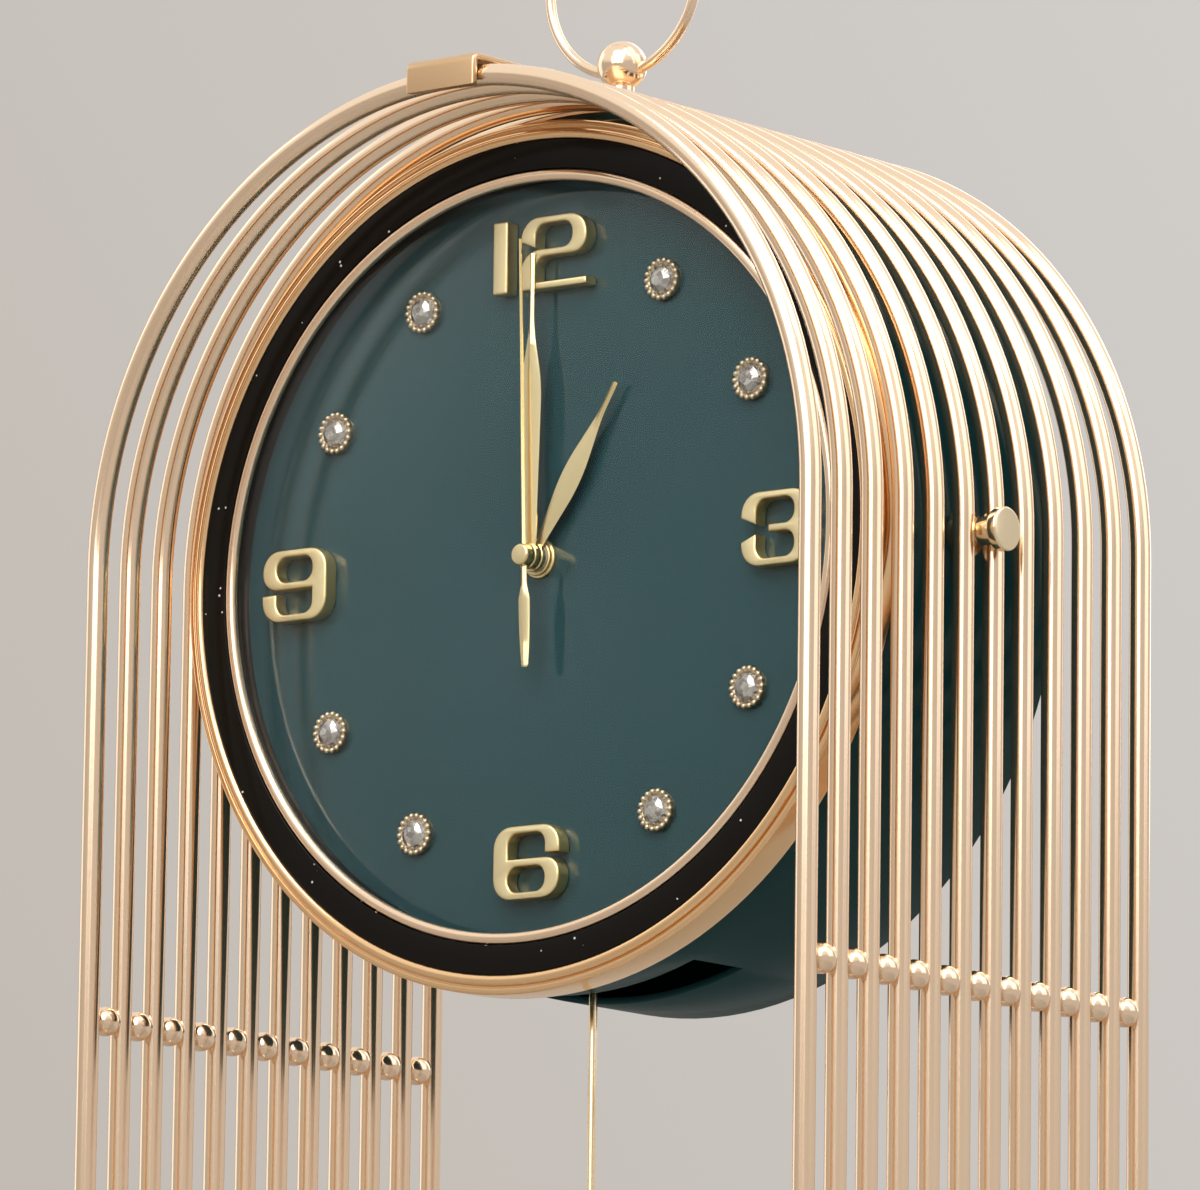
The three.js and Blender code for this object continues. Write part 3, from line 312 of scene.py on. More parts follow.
def made(name, shape, finish, body, slot, *nodes):
    """The finished piece: welded, smooth but for its sharp edges, riding on a body for the given nodes."""
    mesh = bpy.data.meshes.new(name)
    mesh.from_pydata(shape[0], [], shape[1])
    form = bmesh.new()
    form.from_mesh(mesh)
    bmesh.ops.remove_doubles(form, verts=form.verts, dist=WELD)
    bmesh.ops.recalc_face_normals(form, faces=form.faces)
    form.to_mesh(mesh)
    form.free()
    mesh.shade_smooth()
    mesh.set_sharp_from_angle(angle=SHARP_EDGE)
    mesh.materials.append(finish)
    piece = bpy.data.objects.new(name, mesh)
    scene.collection.objects.link(piece)
    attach(piece, body)
    if nodes:
        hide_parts(*nodes)
    return piece


# Moulded rubber is dull and near black, with a fine grain that catches only wide, weak highlights.
rubber_tone = {"Base Color": linear(FOOT_RUBBER)}
rubber = mottled("moulded_black_rubber", RUBBER_GRAIN, {"Roughness": (0.6, 0.85)}, rubber_tone)
roughen(rubber, RUBBER_GRAIN, strength=0.3, depth=0.1 * MM)

plinth_low, plinth_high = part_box("plinth")
for corner in ("front_left", "front_right", "back_left", "back_right"):
    low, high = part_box("foot_" + corner)
    pad = stacked(0, 0, ((high.x - low.x) / 2, plinth_low.z - low.z, FOOT_EDGE, FOOT_EDGE / 2))
    pad = moved(pad, Matrix.Translation(((low.x + high.x) / 2, (low.y + high.y) / 2, low.z)))
    made("foot_pad_" + corner, pad, rubber, "clock_frame", "rubber", "foot_" + corner)


# Plinth: a block of dark green marble with rounded corners, sawn, ground and polished. It is heavy, so
# the tall cage stands safely.
PLINTH_CORNER = 24 * MM
PLINTH_BEVEL = 3 * MM
PLINTH_CORNER_STEPS = 16
SLAB_EDGE_STEPS = 2
MARBLE_DARK = "#16211E"
MARBLE_MID = "#2A3B36"
MARBLE_VEIN = "#8FA39A"
MARBLE_CLOUD = 70 * MM
MARBLE_VEIN_GAP = 45 * MM
MARBLE_VEIN_LEVEL = 0.5
MARBLE_VEIN_WIDTH = 0.022
MARBLE_VEIN_SHARE = 0.75


def taken(blank):
    """The final shape of a Blender object, which is removed again."""
    scene.collection.objects.link(blank)
    mesh = bpy.data.meshes.new_from_object(blank.evaluated_get(bpy.context.evaluated_depsgraph_get()))
    points = [vertex.co.copy() for vertex in mesh.vertices]
    faces = [list(face.vertices) for face in mesh.polygons]
    bpy.data.objects.remove(blank)
    bpy.data.meshes.remove(mesh)
    return points, faces


def slab(outlines, bottom, top, bevel):
    """A plate between two heights from an outer outline and its holes, with its edges bevelled round."""
    curve = bpy.data.curves.new("slab", "CURVE")
    curve.dimensions = "2D"
    curve.fill_mode = "BOTH"
    curve.extrude = (top - bottom) / 2 - bevel
    curve.bevel_depth = bevel
    curve.bevel_resolution = SLAB_EDGE_STEPS
    curve.offset = -bevel
    for outline in outlines:
        spline = curve.splines.new("POLY")
        spline.points.add(len(outline) - 1)
        spline.use_cyclic_u = True
        for point, (x, y) in zip(spline.points, outline):
            point.co = (x, y, 0, 1)
    plate = taken(bpy.data.objects.new("slab", curve))
    bpy.data.curves.remove(curve)
    return moved(plate, Matrix.Translation((0, 0, (bottom + top) / 2)))


def panel(left, foot, right, top, corner=0, steps=CORNER_STEPS):
    """A rectangle with rounded corners."""
    corners = [(left, foot), (right, foot), (right, top), (left, top)]
    return rounded([(x, y, corner) for x, y in corners], steps)


# Polished marble shows cloudy dark green with thin pale veins under a mirror-smooth face.
marble = new_finish("polished_green_marble", {"IOR": 1.55})
tree = marble.node_tree
place = add_node(tree, "ShaderNodeTexCoord").outputs["Object"]
pattern = {"Vector": place, "Scale": 1 / MARBLE_CLOUD, "Detail": 8.0, "Roughness": 0.6}
cloud = add_node(tree, "ShaderNodeTexNoise", pattern).outputs["Fac"]
pattern = {"Vector": place, "Scale": 1 / MARBLE_VEIN_GAP, "Detail": 6.0, "Roughness": 0.55, "Distortion": 1.4}
crack = add_node(tree, "ShaderNodeTexNoise", pattern).outputs["Fac"]
ridge = add_node(tree, "ShaderNodeMath", {0: crack, 1: MARBLE_VEIN_LEVEL}, operation="SUBTRACT")
ridge = add_node(tree, "ShaderNodeMath", {0: ridge.outputs[0]}, operation="ABSOLUTE")
limits = {"From Max": MARBLE_VEIN_WIDTH, "To Min": MARBLE_VEIN_SHARE, "To Max": 0.0}
thread = add_node(tree, "ShaderNodeMapRange", {"Value": ridge.outputs[0], **limits})
tones = {0: cloud, 6: linear(MARBLE_DARK), 7: linear(MARBLE_MID)}
ground = add_node(tree, "ShaderNodeMix", tones, data_type="RGBA")
tones = {0: thread.outputs[0], 6: ground.outputs[2], 7: linear(MARBLE_VEIN)}
veined = add_node(tree, "ShaderNodeMix", tones, data_type="RGBA")
tree.links.new(veined.outputs[2], tree.nodes["Principled BSDF"].inputs["Base Color"])
spread(marble, cloud, {"Roughness": (0.08, 0.18)})

plinth_outline = panel(*plinth_low.xy, *plinth_high.xy, PLINTH_CORNER, PLINTH_CORNER_STEPS)
plinth_shape = slab([plinth_outline], plinth_low.z, plinth_high.z, PLINTH_BEVEL)
made("plinth_block", plinth_shape, marble, "clock_frame", "dark_stone", "plinth")


# Base plate: a thick steel plate, polished and plated pale gold. It is drilled for the 24 rod ends and
# bolted down on the plinth.
PLATE_CORNER = 12 * MM
PLATE_BEVEL = 0.8 * MM
ROD_RADIUS = 3 * MM
ROD_PITCH = 13.5 * MM
ROD_COUNT = 12
ARCH_RADIUS = 124.4 * MM
LEG_HOLE_RADIUS = 3.2 * MM
HOLE_STEPS = 24
CAGE_GOLD = "#F8DFC4"
CAGE_GOLD_WARM = "#F2D3B2"
PLATING_TONE = 60 * MM
PLATING_RIPPLE = 5 * MM
PLATING_POLISH = 0.15
PLATING_HAZE = 0.3


def circle(x, y, radius, steps):
    """A round outline."""
    angles = [2 * math.pi * i / steps for i in range(steps)]
    return [Vector((x + radius * math.cos(a), y + radius * math.sin(a))) for a in angles]


def gold_plating(name, tones, polish):
    """Bright plating on polished metal, under a thin lacquer: a mirror with a faint ripple and some haze."""
    hazed = (polish * (1 - PLATING_HAZE), polish * (1 + PLATING_HAZE))
    spans = {"Base Color": tones, "Roughness": hazed}
    finish = mottled(name, PLATING_TONE, spans, {"Metallic": 0.95}, detail=3.0)
    roughen(finish, PLATING_RIPPLE, strength=0.03, depth=0.2 * MM)
    return finish


# Pale gold plating mirrors the tent and the neighbouring rods in a light, warm tone.
cage_gold = gold_plating("pale_gold_plating", (CAGE_GOLD, CAGE_GOLD_WARM), PLATING_POLISH)

plate_low, plate_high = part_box("base_plate")
plate_outlines = [panel(*plate_low.xy, *plate_high.xy, PLATE_CORNER)]
rod_lines = [(i - (ROD_COUNT - 1) / 2) * ROD_PITCH for i in range(ROD_COUNT)]
for rod_line in rod_lines:
    for side in (-1, 1):
        plate_outlines.append(circle(side * ARCH_RADIUS, rod_line, LEG_HOLE_RADIUS, HOLE_STEPS))
plate_shape = slab(plate_outlines, plinth_high.z, plate_high.z, PLATE_BEVEL)
made("base_plate_gilt", plate_shape, cage_gold, "clock_frame", "gilt", "base_plate")


# Cage: twelve steel rods bent to an upside-down U, plated pale gold and set one behind the other. Small
# turned balls are soldered between each rod and the next, below the drum.
ARCH_LIFT = 2.4 * MM
ARCH_STEPS = 80
ROD_SIDES = 24
BALL_DROP = 122.6 * MM
BALL_RADIUS = 4.15 * MM
BALL_STEPS = 14
SOLDER_RADIUS = 2.1 * MM
SOLDER_LENGTH = 0.5 * MM


def lofted(rings, closed=False):
    """A skin over rings of points, one after the other, with its ends capped or joined."""
    sides = len(rings[0])
    points = [point for ring in rings for point in ring]
    faces = []
    for i in range(len(rings) if closed else len(rings) - 1):
        start = i * sides
        other = (i + 1) % len(rings) * sides
        for j in range(sides):
            k = (j + 1) % sides
            faces.append([start + j, start + k, other + k, other + j])
    if not closed:
        faces.append(list(range(sides)))
        faces.append(list(range(len(points) - sides, len(points))))
    return points, faces


def swept(path, across, radius, sides, closed=False):
    """A round bar along a flat path; across is the direction square to the path's plane."""
    rings = []
    for i, centre in enumerate(path):
        before = path[i - 1] if closed or i > 0 else path[0]
        after = path[(i + 1) % len(path)] if closed or i < len(path) - 1 else path[-1]
        out = (after - before).normalized().cross(across)
        rings.append([centre + out * x + across * y for x, y in circle(0, 0, radius, sides)])
    return lofted(rings, closed)


def joined(*shapes):
    """Several shapes as one."""
    points = []
    faces = []
    for shape_points, shape_faces in shapes:
        start = len(points)
        points += shape_points
        faces += [[start + i for i in face] for face in shape_faces]
    return points, faces


depth_axis = Vector((0, 1, 0))
springing = dial_centre.z + ARCH_LIFT
leg_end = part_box("arch_01")[0].z
arch_path = [Vector((ARCH_RADIUS, 0, leg_end))]
for i in range(ARCH_STEPS + 1):
    angle = math.pi * i / ARCH_STEPS
    arch_path.append(Vector((ARCH_RADIUS * math.cos(angle), 0, springing + ARCH_RADIUS * math.sin(angle))))
arch_path.append(Vector((-ARCH_RADIUS, 0, leg_end)))
rod_shape = swept(arch_path, depth_axis, ROD_RADIUS, ROD_SIDES)

ball_end = ROD_PITCH / 2 - ROD_RADIUS + SOLDER_LENGTH
solder_angle = math.asin(SOLDER_RADIUS / BALL_RADIUS)
ball_profile = [(0, -ball_end), (SOLDER_RADIUS, -ball_end)]
for i in range(BALL_STEPS + 1):
    angle = math.pi - solder_angle - (math.pi - 2 * solder_angle) * i / BALL_STEPS
    ball_profile.append((BALL_RADIUS * math.sin(angle), BALL_RADIUS * math.cos(angle)))
ball_profile += [(SOLDER_RADIUS, ball_end), (0, ball_end)]
ball_shape = moved(turned(ball_profile, ROD_SIDES), Matrix.Rotation(-math.pi / 2, 4, "X"))

for i, rod_line in enumerate(rod_lines):
    shape = moved(rod_shape, Matrix.Translation((0, rod_line, 0)))
    if i < ROD_COUNT - 1:
        for side in (-1, 1):
            ball_place = (side * ARCH_RADIUS, rod_line + ROD_PITCH / 2, dial_centre.z - BALL_DROP)
            shape = joined(shape, moved(ball_shape, Matrix.Translation(ball_place)))
    made(f"rod_{i + 1:02}", shape, cage_gold, "clock_frame", "gilt", f"arch_{i + 1:02}")


# Strap: a steel strip with both ends folded down, rubbed satin and plated gold. It lies over the arches
# and is soldered to them.
STRAP_THICKNESS = 2 * MM
STRAP_BEND = 2.5 * MM
STRAP_EDGE = 0.8 * MM
STRAP_GOLD = "#D8B690"
STRAP_GOLD_WARM = "#D1AC83"
STRAP_POLISH = 0.3

# Rubbed satin, the strap's gold is browner than the cage's and shows only broad, soft lights.
strap_gold = gold_plating("satin_gold_strap", (STRAP_GOLD, STRAP_GOLD_WARM), STRAP_POLISH)

strap_low, strap_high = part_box("top_strap")
strap_y = strap_high.y
inner_y = strap_y - STRAP_THICKNESS
inner_z = strap_high.z - STRAP_THICKNESS
strap_outline = rounded(
    [
        (-strap_y, strap_low.z, 0),
        (-strap_y, strap_high.z, STRAP_BEND),
        (strap_y, strap_high.z, STRAP_BEND),
        (strap_y, strap_low.z, 0),
        (inner_y, strap_low.z, 0),
        (inner_y, inner_z, STRAP_BEND - STRAP_THICKNESS),
        (-inner_y, inner_z, STRAP_BEND - STRAP_THICKNESS),
        (-inner_y, strap_low.z, 0),
    ]
)
across_clock = Matrix(((0, 0, 1, 0), (1, 0, 0, 0), (0, 1, 0, 0), (0, 0, 0, 1)))
strap_shape = moved(slab([strap_outline], strap_low.x, strap_high.x, STRAP_EDGE), across_clock)
made("strap", strap_shape, strap_gold, "clock_frame", "gilt", "top_strap")


# Finial: a turned and polished ball on a neck and a round foot. Its stud goes down through the strap into
# a hexagon nut.
FINIAL_FOOT_RADIUS = 5.5 * MM
FINIAL_FOOT_HEIGHT = 1.4 * MM
FINIAL_NECK_RADIUS = 3.5 * MM
FINIAL_BALL_RADIUS = 7 * MM
FINIAL_BALL_LIFT = 11.4 * MM
FINIAL_STUD_RADIUS = 1.5 * MM
FINIAL_EDGE = 0.4 * MM
FINIAL_STEPS = 24
NUT_SIDES = 6
NUT_BEVEL = 0.3 * MM
STEEL_GREY = "#C9CBCD"
STEEL_WARM = "#BDB9AE"
STEEL_SPANGLE = 6 * MM


def hexagon(across_flats):
    """A six-sided outline."""
    return circle(0, 0, across_flats / math.sqrt(3), NUT_SIDES)


# Bright zinc plating is a cool grey metal, softly hazed in patches.
steel_spans = {"Base Color": (STEEL_GREY, STEEL_WARM), "Roughness": (0.2, 0.42)}
zinc = mottled("bright_zinc_plating", STEEL_SPANGLE, steel_spans, {"Metallic": 1.0})

strap_top = strap_high.z
stud_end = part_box("finial_ball")[0].z - strap_top
finial_profile = rounded(
    [
        (0, stud_end, 0),
        (FINIAL_STUD_RADIUS, stud_end, FINIAL_EDGE),
        (FINIAL_STUD_RADIUS, 0, 0),
        (FINIAL_FOOT_RADIUS, 0, FINIAL_EDGE),
        (FINIAL_FOOT_RADIUS, FINIAL_FOOT_HEIGHT, FINIAL_EDGE),
        (FINIAL_NECK_RADIUS, FINIAL_FOOT_HEIGHT, FINIAL_EDGE),
    ]
)
neck_angle = math.asin(FINIAL_NECK_RADIUS / FINIAL_BALL_RADIUS)
for i in range(FINIAL_STEPS + 1):
    angle = (math.pi - neck_angle) * (1 - i / FINIAL_STEPS)
    height = FINIAL_BALL_LIFT + FINIAL_BALL_RADIUS * math.cos(angle)
    finial_profile.append(Vector((FINIAL_BALL_RADIUS * math.sin(angle), height)))
finial_shape = moved(turned(finial_profile), Matrix.Translation((0, 0, strap_top)))
made("finial", finial_shape, cage_gold, "clock_frame", "gilt", "finial_ball")

nut_low, nut_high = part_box("finial_nut")
nut_outlines = [hexagon(nut_high.y - nut_low.y), circle(0, 0, FINIAL_STUD_RADIUS, HOLE_STEPS)]
nut_shape = slab(nut_outlines, nut_low.z, strap_top - STRAP_THICKNESS, NUT_BEVEL)
made("finial_hex_nut", nut_shape, zinc, "clock_frame", "steel", "finial_nut")


# Ring: gold-plated wire bent to a circle, put through the ball and soldered there, so that it stands
# upright.
RING_RADIUS = 26 * MM
RING_WIRE_RADIUS = 1.5 * MM
RING_STEPS = 120
RING_SIDES = 20

ring_low, ring_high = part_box("hanging_ring")
ring_height = (ring_low.z + ring_high.z) / 2
ring_path = [Vector((x, 0, ring_height + z)) for x, z in circle(0, 0, RING_RADIUS, RING_STEPS)]
ring_shape = swept(ring_path, depth_axis, RING_WIRE_RADIUS, RING_SIDES, closed=True)
made("ring", ring_shape, cage_gold, "clock_frame", "gilt", "hanging_ring")


# Drum: a shell of spun steel in dark green lacquer, with a slot in its underside for the pendulum. Welded
# ledges inside hold the dial in front and the cover behind.
DRUM_WALL = 2 * MM
DRUM_EDGE = 0.5 * MM
DRUM_EDGE_STEPS = 2
DRUM_STEPS = 140
SLOT_HALF_WIDTH = 39.5 * MM
SLOT_STEPS = 14
SLOT_FRONT = 13.3 * MM
SLOT_BACK = -8.3 * MM
DIAL_LEDGE_WIDTH = 10 * MM
COVER_LEDGE_WIDTH = 5 * MM
LEDGE_GAP = 0.3 * MM
COVER_THICKNESS = 1.5 * MM
DRUM_GREEN = "#1D4649"
DRUM_GREEN_DEEP = "#193D40"
LACQUER_PEEL = 6 * MM
LACQUER_TONE = 90 * MM
BIG_ROUND_STEPS = 160

# Gloss lacquer is a deep, even green under a thin clear coat, whose weak mirror is softened by a slight
# orange peel.
drum_coat = {"Roughness": 0.5, "Specular IOR Level": 0.0, "Coat Weight": 0.2, "Coat Roughness": 0.09}
drum_spans = {"Base Color": (DRUM_GREEN, DRUM_GREEN_DEEP)}
drum_lacquer = mottled("gloss_green_lacquer", LACQUER_TONE, drum_spans, drum_coat)
roughen(drum_lacquer, LACQUER_PEEL, strength=0.05, depth=0.2 * MM, socket="Coat Normal")

# In the head, heights run forwards from the middle of the drum, and the dial's centre is the origin.
head = Matrix.Translation((0, 0, dial_centre.z)) @ Matrix.Rotation(math.pi / 2, 4, "X")


def front_of(node):
    """How far forward a node reaches."""
    return -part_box(node)[0].y


def back_of(node):
    """How far forward a node's back is."""
    return -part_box(node)[1].y


def hoop(inner, outer, back, front, edge=0, steps=BIG_ROUND_STEPS):
    """A flat ring about the axis, with its two front edges rounded."""
    section = [(inner, back, 0), (outer, back, 0), (outer, front, edge), (inner, front, edge)]
    return lathed(section, steps)


def ledge(width, front):
    """A welded ring inside the drum's wall."""
    return hoop(drum_radius - DRUM_WALL - width, drum_radius - DRUM_WALL / 2, front - DRUM_WALL, front)


drum_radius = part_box("drum_shell")[1].x
drum_front = front_of("drum_shell")
slot_angle = math.asin(SLOT_HALF_WIDTH / drum_radius)
slot_end = slot_angle - math.pi / 2
free_angle = 2 * math.pi - 2 * slot_angle
drum_angles = [-math.pi / 2 + slot_angle * (2 * i / SLOT_STEPS - 1) for i in range(SLOT_STEPS)]
drum_angles += [slot_end + free_angle * i / DRUM_STEPS for i in range(DRUM_STEPS)]
drum_levels = [drum_front, SLOT_FRONT, SLOT_BACK, back_of("drum_shell")]
around = len(drum_angles)
sheet_points = []
sheet_faces = []
for row, level in enumerate(drum_levels):
    for angle in drum_angles:
        sheet_points.append(Vector((drum_radius * math.cos(angle), drum_radius * math.sin(angle), level)))
    in_slot = SLOT_STEPS if level == SLOT_FRONT else 0
    start = row * around
    for i in range(in_slot, around if row < len(drum_levels) - 1 else 0):
        j = (i + 1) % around
        sheet_faces.append([start + i, start + around + i, start + around + j, start + j])
sheet = bpy.data.meshes.new("drum_sheet")
sheet.from_pydata(sheet_points, [], sheet_faces)
blank = bpy.data.objects.new("drum_sheet", sheet)
wall = blank.modifiers.new("wall", "SOLIDIFY")
wall.thickness = DRUM_WALL
wall.offset = -1
edge = blank.modifiers.new("edge", "BEVEL")
edge.width = DRUM_EDGE
edge.segments = DRUM_EDGE_STEPS
edge.limit_method = "ANGLE"
shell_shape = taken(blank)
bpy.data.meshes.remove(sheet)

dial_ledge = ledge(DIAL_LEDGE_WIDTH, back_of("dial") - LEDGE_GAP)
cover_ledge = ledge(COVER_LEDGE_WIDTH, back_of("rear_cover") + COVER_THICKNESS + LEDGE_GAP + DRUM_WALL)
drum_shape = moved(joined(shell_shape, dial_ledge, cover_ledge), head)
made("drum", drum_shape, drum_lacquer, "clock_frame", "green_lacquer", "drum_shell")


# Rear cover: a pressed steel lid in the drum's lacquer, with a raised rim and a sunk panel. It snaps into
# the drum's back.
PANEL_RADIUS = 93 * MM
PANEL_SLOPE = 4 * MM
PANEL_DEPTH = 3 * MM
COVER_CURVE = 2 * MM
COVER_EDGE = 0.4 * MM

cover_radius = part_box("rear_cover")[1].x
cover_back = back_of("rear_cover")
cover_front = cover_back + COVER_THICKNESS
slope_start = PANEL_RADIUS - PANEL_SLOPE / 2
slope_end = PANEL_RADIUS + PANEL_SLOPE / 2
cover_shape = lathed(
    [
        (0, cover_back + PANEL_DEPTH, 0),
        (slope_start, cover_back + PANEL_DEPTH, COVER_CURVE),
        (slope_end, cover_back, COVER_CURVE),
        (cover_radius, cover_back, COVER_EDGE),
        (cover_radius, cover_front, COVER_EDGE),
        (slope_end, cover_front, COVER_CURVE),
        (slope_start, cover_front + PANEL_DEPTH, COVER_CURVE),
        (0, cover_front + PANEL_DEPTH, 0),
    ],
    BIG_ROUND_STEPS,
)
made("back_lid", moved(cover_shape, head), drum_lacquer, "clock_frame", "green_lacquer", "rear_cover")


# Dial: a steel disc in teal green lacquer, rubbed down to a soft gloss, clamped between the ledge and the
# spacer. A hole in its middle takes the movement's bush.
DIAL_HOLE_RADIUS = 4.2 * MM
DIAL_EDGE = 0.3 * MM
DIAL_TEAL = "#264245"
DIAL_TEAL_DEEP = "#223D42"

# Rubbed lacquer keeps an even teal with a soft, slightly blurred mirror of the rods in front of it.
dial_spans = {"Base Color": (DIAL_TEAL, DIAL_TEAL_DEEP), "Roughness": (0.06, 0.1)}
dial_lacquer = mottled("rubbed_teal_lacquer", LACQUER_TONE, dial_spans)

dial_face = front_of("dial")
dial_outline = panel(DIAL_HOLE_RADIUS, back_of("dial"), dial_high.x, dial_face, DIAL_EDGE)
dial_shape = moved(turned(dial_outline, BIG_ROUND_STEPS), head)
made("dial_disc", dial_shape, dial_lacquer, "clock_frame", "dial_lacquer", "dial")


# Figures 12, 3, 6 and 9: thick plates cut from brass, with broad uprights and thin arcs. They are plated
# and rubbed satin, with painted shade, a deeper gold, down their sides, and pins and glue hold them on the
# dial.
MARK_CIRCLE = 84 * MM
FIGURE_WIDTH = 23 * MM
FIGURE_HEIGHT = 20.2 * MM
FIGURE_THICK = 5.1 * MM
FIGURE_THIN = 2 * MM
FIGURE_CORNER = 6 * MM
FIGURE_TIGHT_CORNER = 4.8 * MM
FIGURE_COUNTER_CORNER = 3.2 * MM
FIGURE_CUT = 2.25 * MM
FIGURE_WAIST = 1.3 * MM
FIGURE_BEVEL = 0.6 * MM
FIGURE_ONE_PLACE = -12 * MM
FIGURE_TWO_PLACE = 6.7 * MM
FIGURE_GOLD = "#F9E3B4"
# The sides' deeper gold is painted shade, laid on by the way each face points.
FIGURE_SIDE_PAINTED_SHADE = "#F2D28E"
FACE_FORWARD = -1.0
SIDE_FROM = -0.6
SATIN_GRAIN = 0.5 * MM  # coarser than the real rubbing marks, so that it shows


def satin_gold(name, tones, polish):
    """Plated brass rubbed satin; tones and polish are each a pair, for the front faces and for the sides
    (painted shade).
    """
    finish = new_finish(name, {"Metallic": 1.0})
    tree = finish.node_tree
    normal = add_node(tree, "ShaderNodeTexCoord").outputs["Normal"]
    facing = add_node(tree, "ShaderNodeSeparateXYZ", {0: normal})
    limits = {"Value": facing.outputs["Y"], "From Min": FACE_FORWARD, "From Max": SIDE_FROM}
    on_side = add_node(tree, "ShaderNodeMapRange", limits)
    # Painted shade: faces that turn sideways get their own deeper colour, as well as their own gloss.
    spread(finish, on_side.outputs[0], {"Base Color": tones, "Roughness": polish})
    roughen(finish, SATIN_GRAIN, strength=0.08, depth=0.1 * MM)
    return finish


# Satin gold glows broadly on a figure's face, and the sides, a little brighter and painted a deeper gold as
# shade, draw its outline.
figure_gold = satin_gold("satin_gold_plating", (FIGURE_GOLD, FIGURE_SIDE_PAINTED_SHADE), polish=(0.42, 0.34))

figure_x = FIGURE_WIDTH / 2
figure_y = FIGURE_HEIGHT / 2
counter_x = figure_x - FIGURE_THICK
counter_y = figure_y - FIGURE_THIN
half_bar = FIGURE_THIN / 2
half_stem = FIGURE_THICK / 2
one_outline = panel(-half_stem, -figure_y, half_stem, figure_y, FIGURE_BEVEL)
two_outline = rounded(
    [
        (-figure_x, half_stem + half_bar, 0),
        (-figure_x, figure_y, FIGURE_CORNER),
        (figure_x, figure_y, FIGURE_CORNER),
        (figure_x, -half_bar, FIGURE_TIGHT_CORNER),
        (-counter_x, -half_bar, FIGURE_COUNTER_CORNER),
        (-counter_x, -counter_y, 0),
        (figure_x, -counter_y, 0),
        (figure_x, -figure_y, 0),
        (-figure_x, -figure_y, 0),
        (-figure_x, half_bar, FIGURE_CORNER),
        (counter_x, half_bar, FIGURE_COUNTER_CORNER),
        (counter_x, counter_y, FIGURE_COUNTER_CORNER),
        (-counter_x, counter_y, FIGURE_COUNTER_CORNER),
        (-counter_x, half_stem - half_bar, 0),
    ]
)
three_outside = [
    (-figure_x, FIGURE_CUT + half_bar, 0),
    (-figure_x, figure_y, FIGURE_CORNER),
    (figure_x, figure_y, FIGURE_CORNER),
    (figure_x, 2 * FIGURE_WAIST, FIGURE_WAIST),
]
three_waist = [(figure_x - FIGURE_WAIST, 0, FIGURE_WAIST)]
three_inside = [
    (-FIGURE_CUT, half_bar, 0),
    (counter_x, half_bar, FIGURE_COUNTER_CORNER),
    (counter_x, counter_y, FIGURE_COUNTER_CORNER),
    (-counter_x, counter_y, FIGURE_COUNTER_CORNER),
    (-counter_x, FIGURE_CUT - half_bar, 0),
]
three_foot = [(x, -y, corner) for x, y, corner in reversed(three_inside + three_outside)]
three_outline = rounded(three_outside + three_waist + three_foot + three_inside)
six_outline = rounded(
    [
        (figure_x, FIGURE_CUT, 0),
        (figure_x, figure_y, FIGURE_CORNER),
        (-figure_x, figure_y, FIGURE_CORNER),
        (-figure_x, -figure_y, FIGURE_CORNER),
        (figure_x, -figure_y, FIGURE_CORNER),
        (figure_x, half_bar, FIGURE_TIGHT_CORNER),
        (-counter_x, half_bar, 0),
        (-counter_x, counter_y, FIGURE_COUNTER_CORNER),
        (counter_x, counter_y, FIGURE_COUNTER_CORNER),
        (counter_x, FIGURE_CUT, 0),
    ]
)
six_hole = panel(-counter_x, -counter_y, counter_x, -half_bar, FIGURE_COUNTER_CORNER)
six_outlines = [six_outline, six_hole]
nine_outlines = [[-point for point in outline] for outline in six_outlines]

figures = (
    ("12_one", [one_outline], FIGURE_ONE_PLACE, MARK_CIRCLE),
    ("12_two", [two_outline], FIGURE_TWO_PLACE, MARK_CIRCLE),
    ("3", [three_outline], MARK_CIRCLE, 0),
    ("6", six_outlines, 0, -MARK_CIRCLE),
    ("9", nine_outlines, -MARK_CIRCLE, 0),
)
for name, outlines, x, y in figures:
    shape = slab(outlines, dial_face, front_of("numeral_" + name), FIGURE_BEVEL)
    shape = moved(shape, head @ Matrix.Translation((x, y, 0)))
    made("figure_" + name, shape, figure_gold, "clock_frame", "gilt", "numeral_" + name)


# Jewels: foil-backed crystal stones, cut with flat facets, in brass settings with a beaded rim. One sits at
# each hour that has no figure, pinned to the dial.
SETTING_RADIUS = 5.4 * MM
SETTING_HEIGHT = 1.7 * MM
SETTING_BORE = 4.2 * MM
SETTING_EDGE = 0.35 * MM
BEAD_RADIUS = 0.88 * MM
BEAD_CIRCLE = 5.12 * MM
BEAD_COUNT = 18
BEAD_LIFT = 1.5 * MM
BEAD_ROWS = 6
BEAD_SIDES = 10
STONE_SIDES = 12
STONE_STEPS = ((4.3, 0.7), (4.3, 1.5), (3.5, 2.6), (2.1, 3.5))  # radius and height of each row, mm
STONE_HOURS = (1, 2, 4, 5, 7, 8, 10, 11)
HOUR_STEP = math.radians(30)
SETTING_GOLD = "#DCCBB3"
# The setting's darker side tone is painted shade.
SETTING_SIDE_PAINTED_SHADE = "#CDB592"
# Painted reflections: the stone's light and dark facet tones.
STONE_PAINTED_GLINT = "#D2CCC6"
STONE_PAINTED_DARK_FACET = "#968C88"
STONE_FACET = 1.5 * MM
STONE_SPARKLE = 0.88 * MM

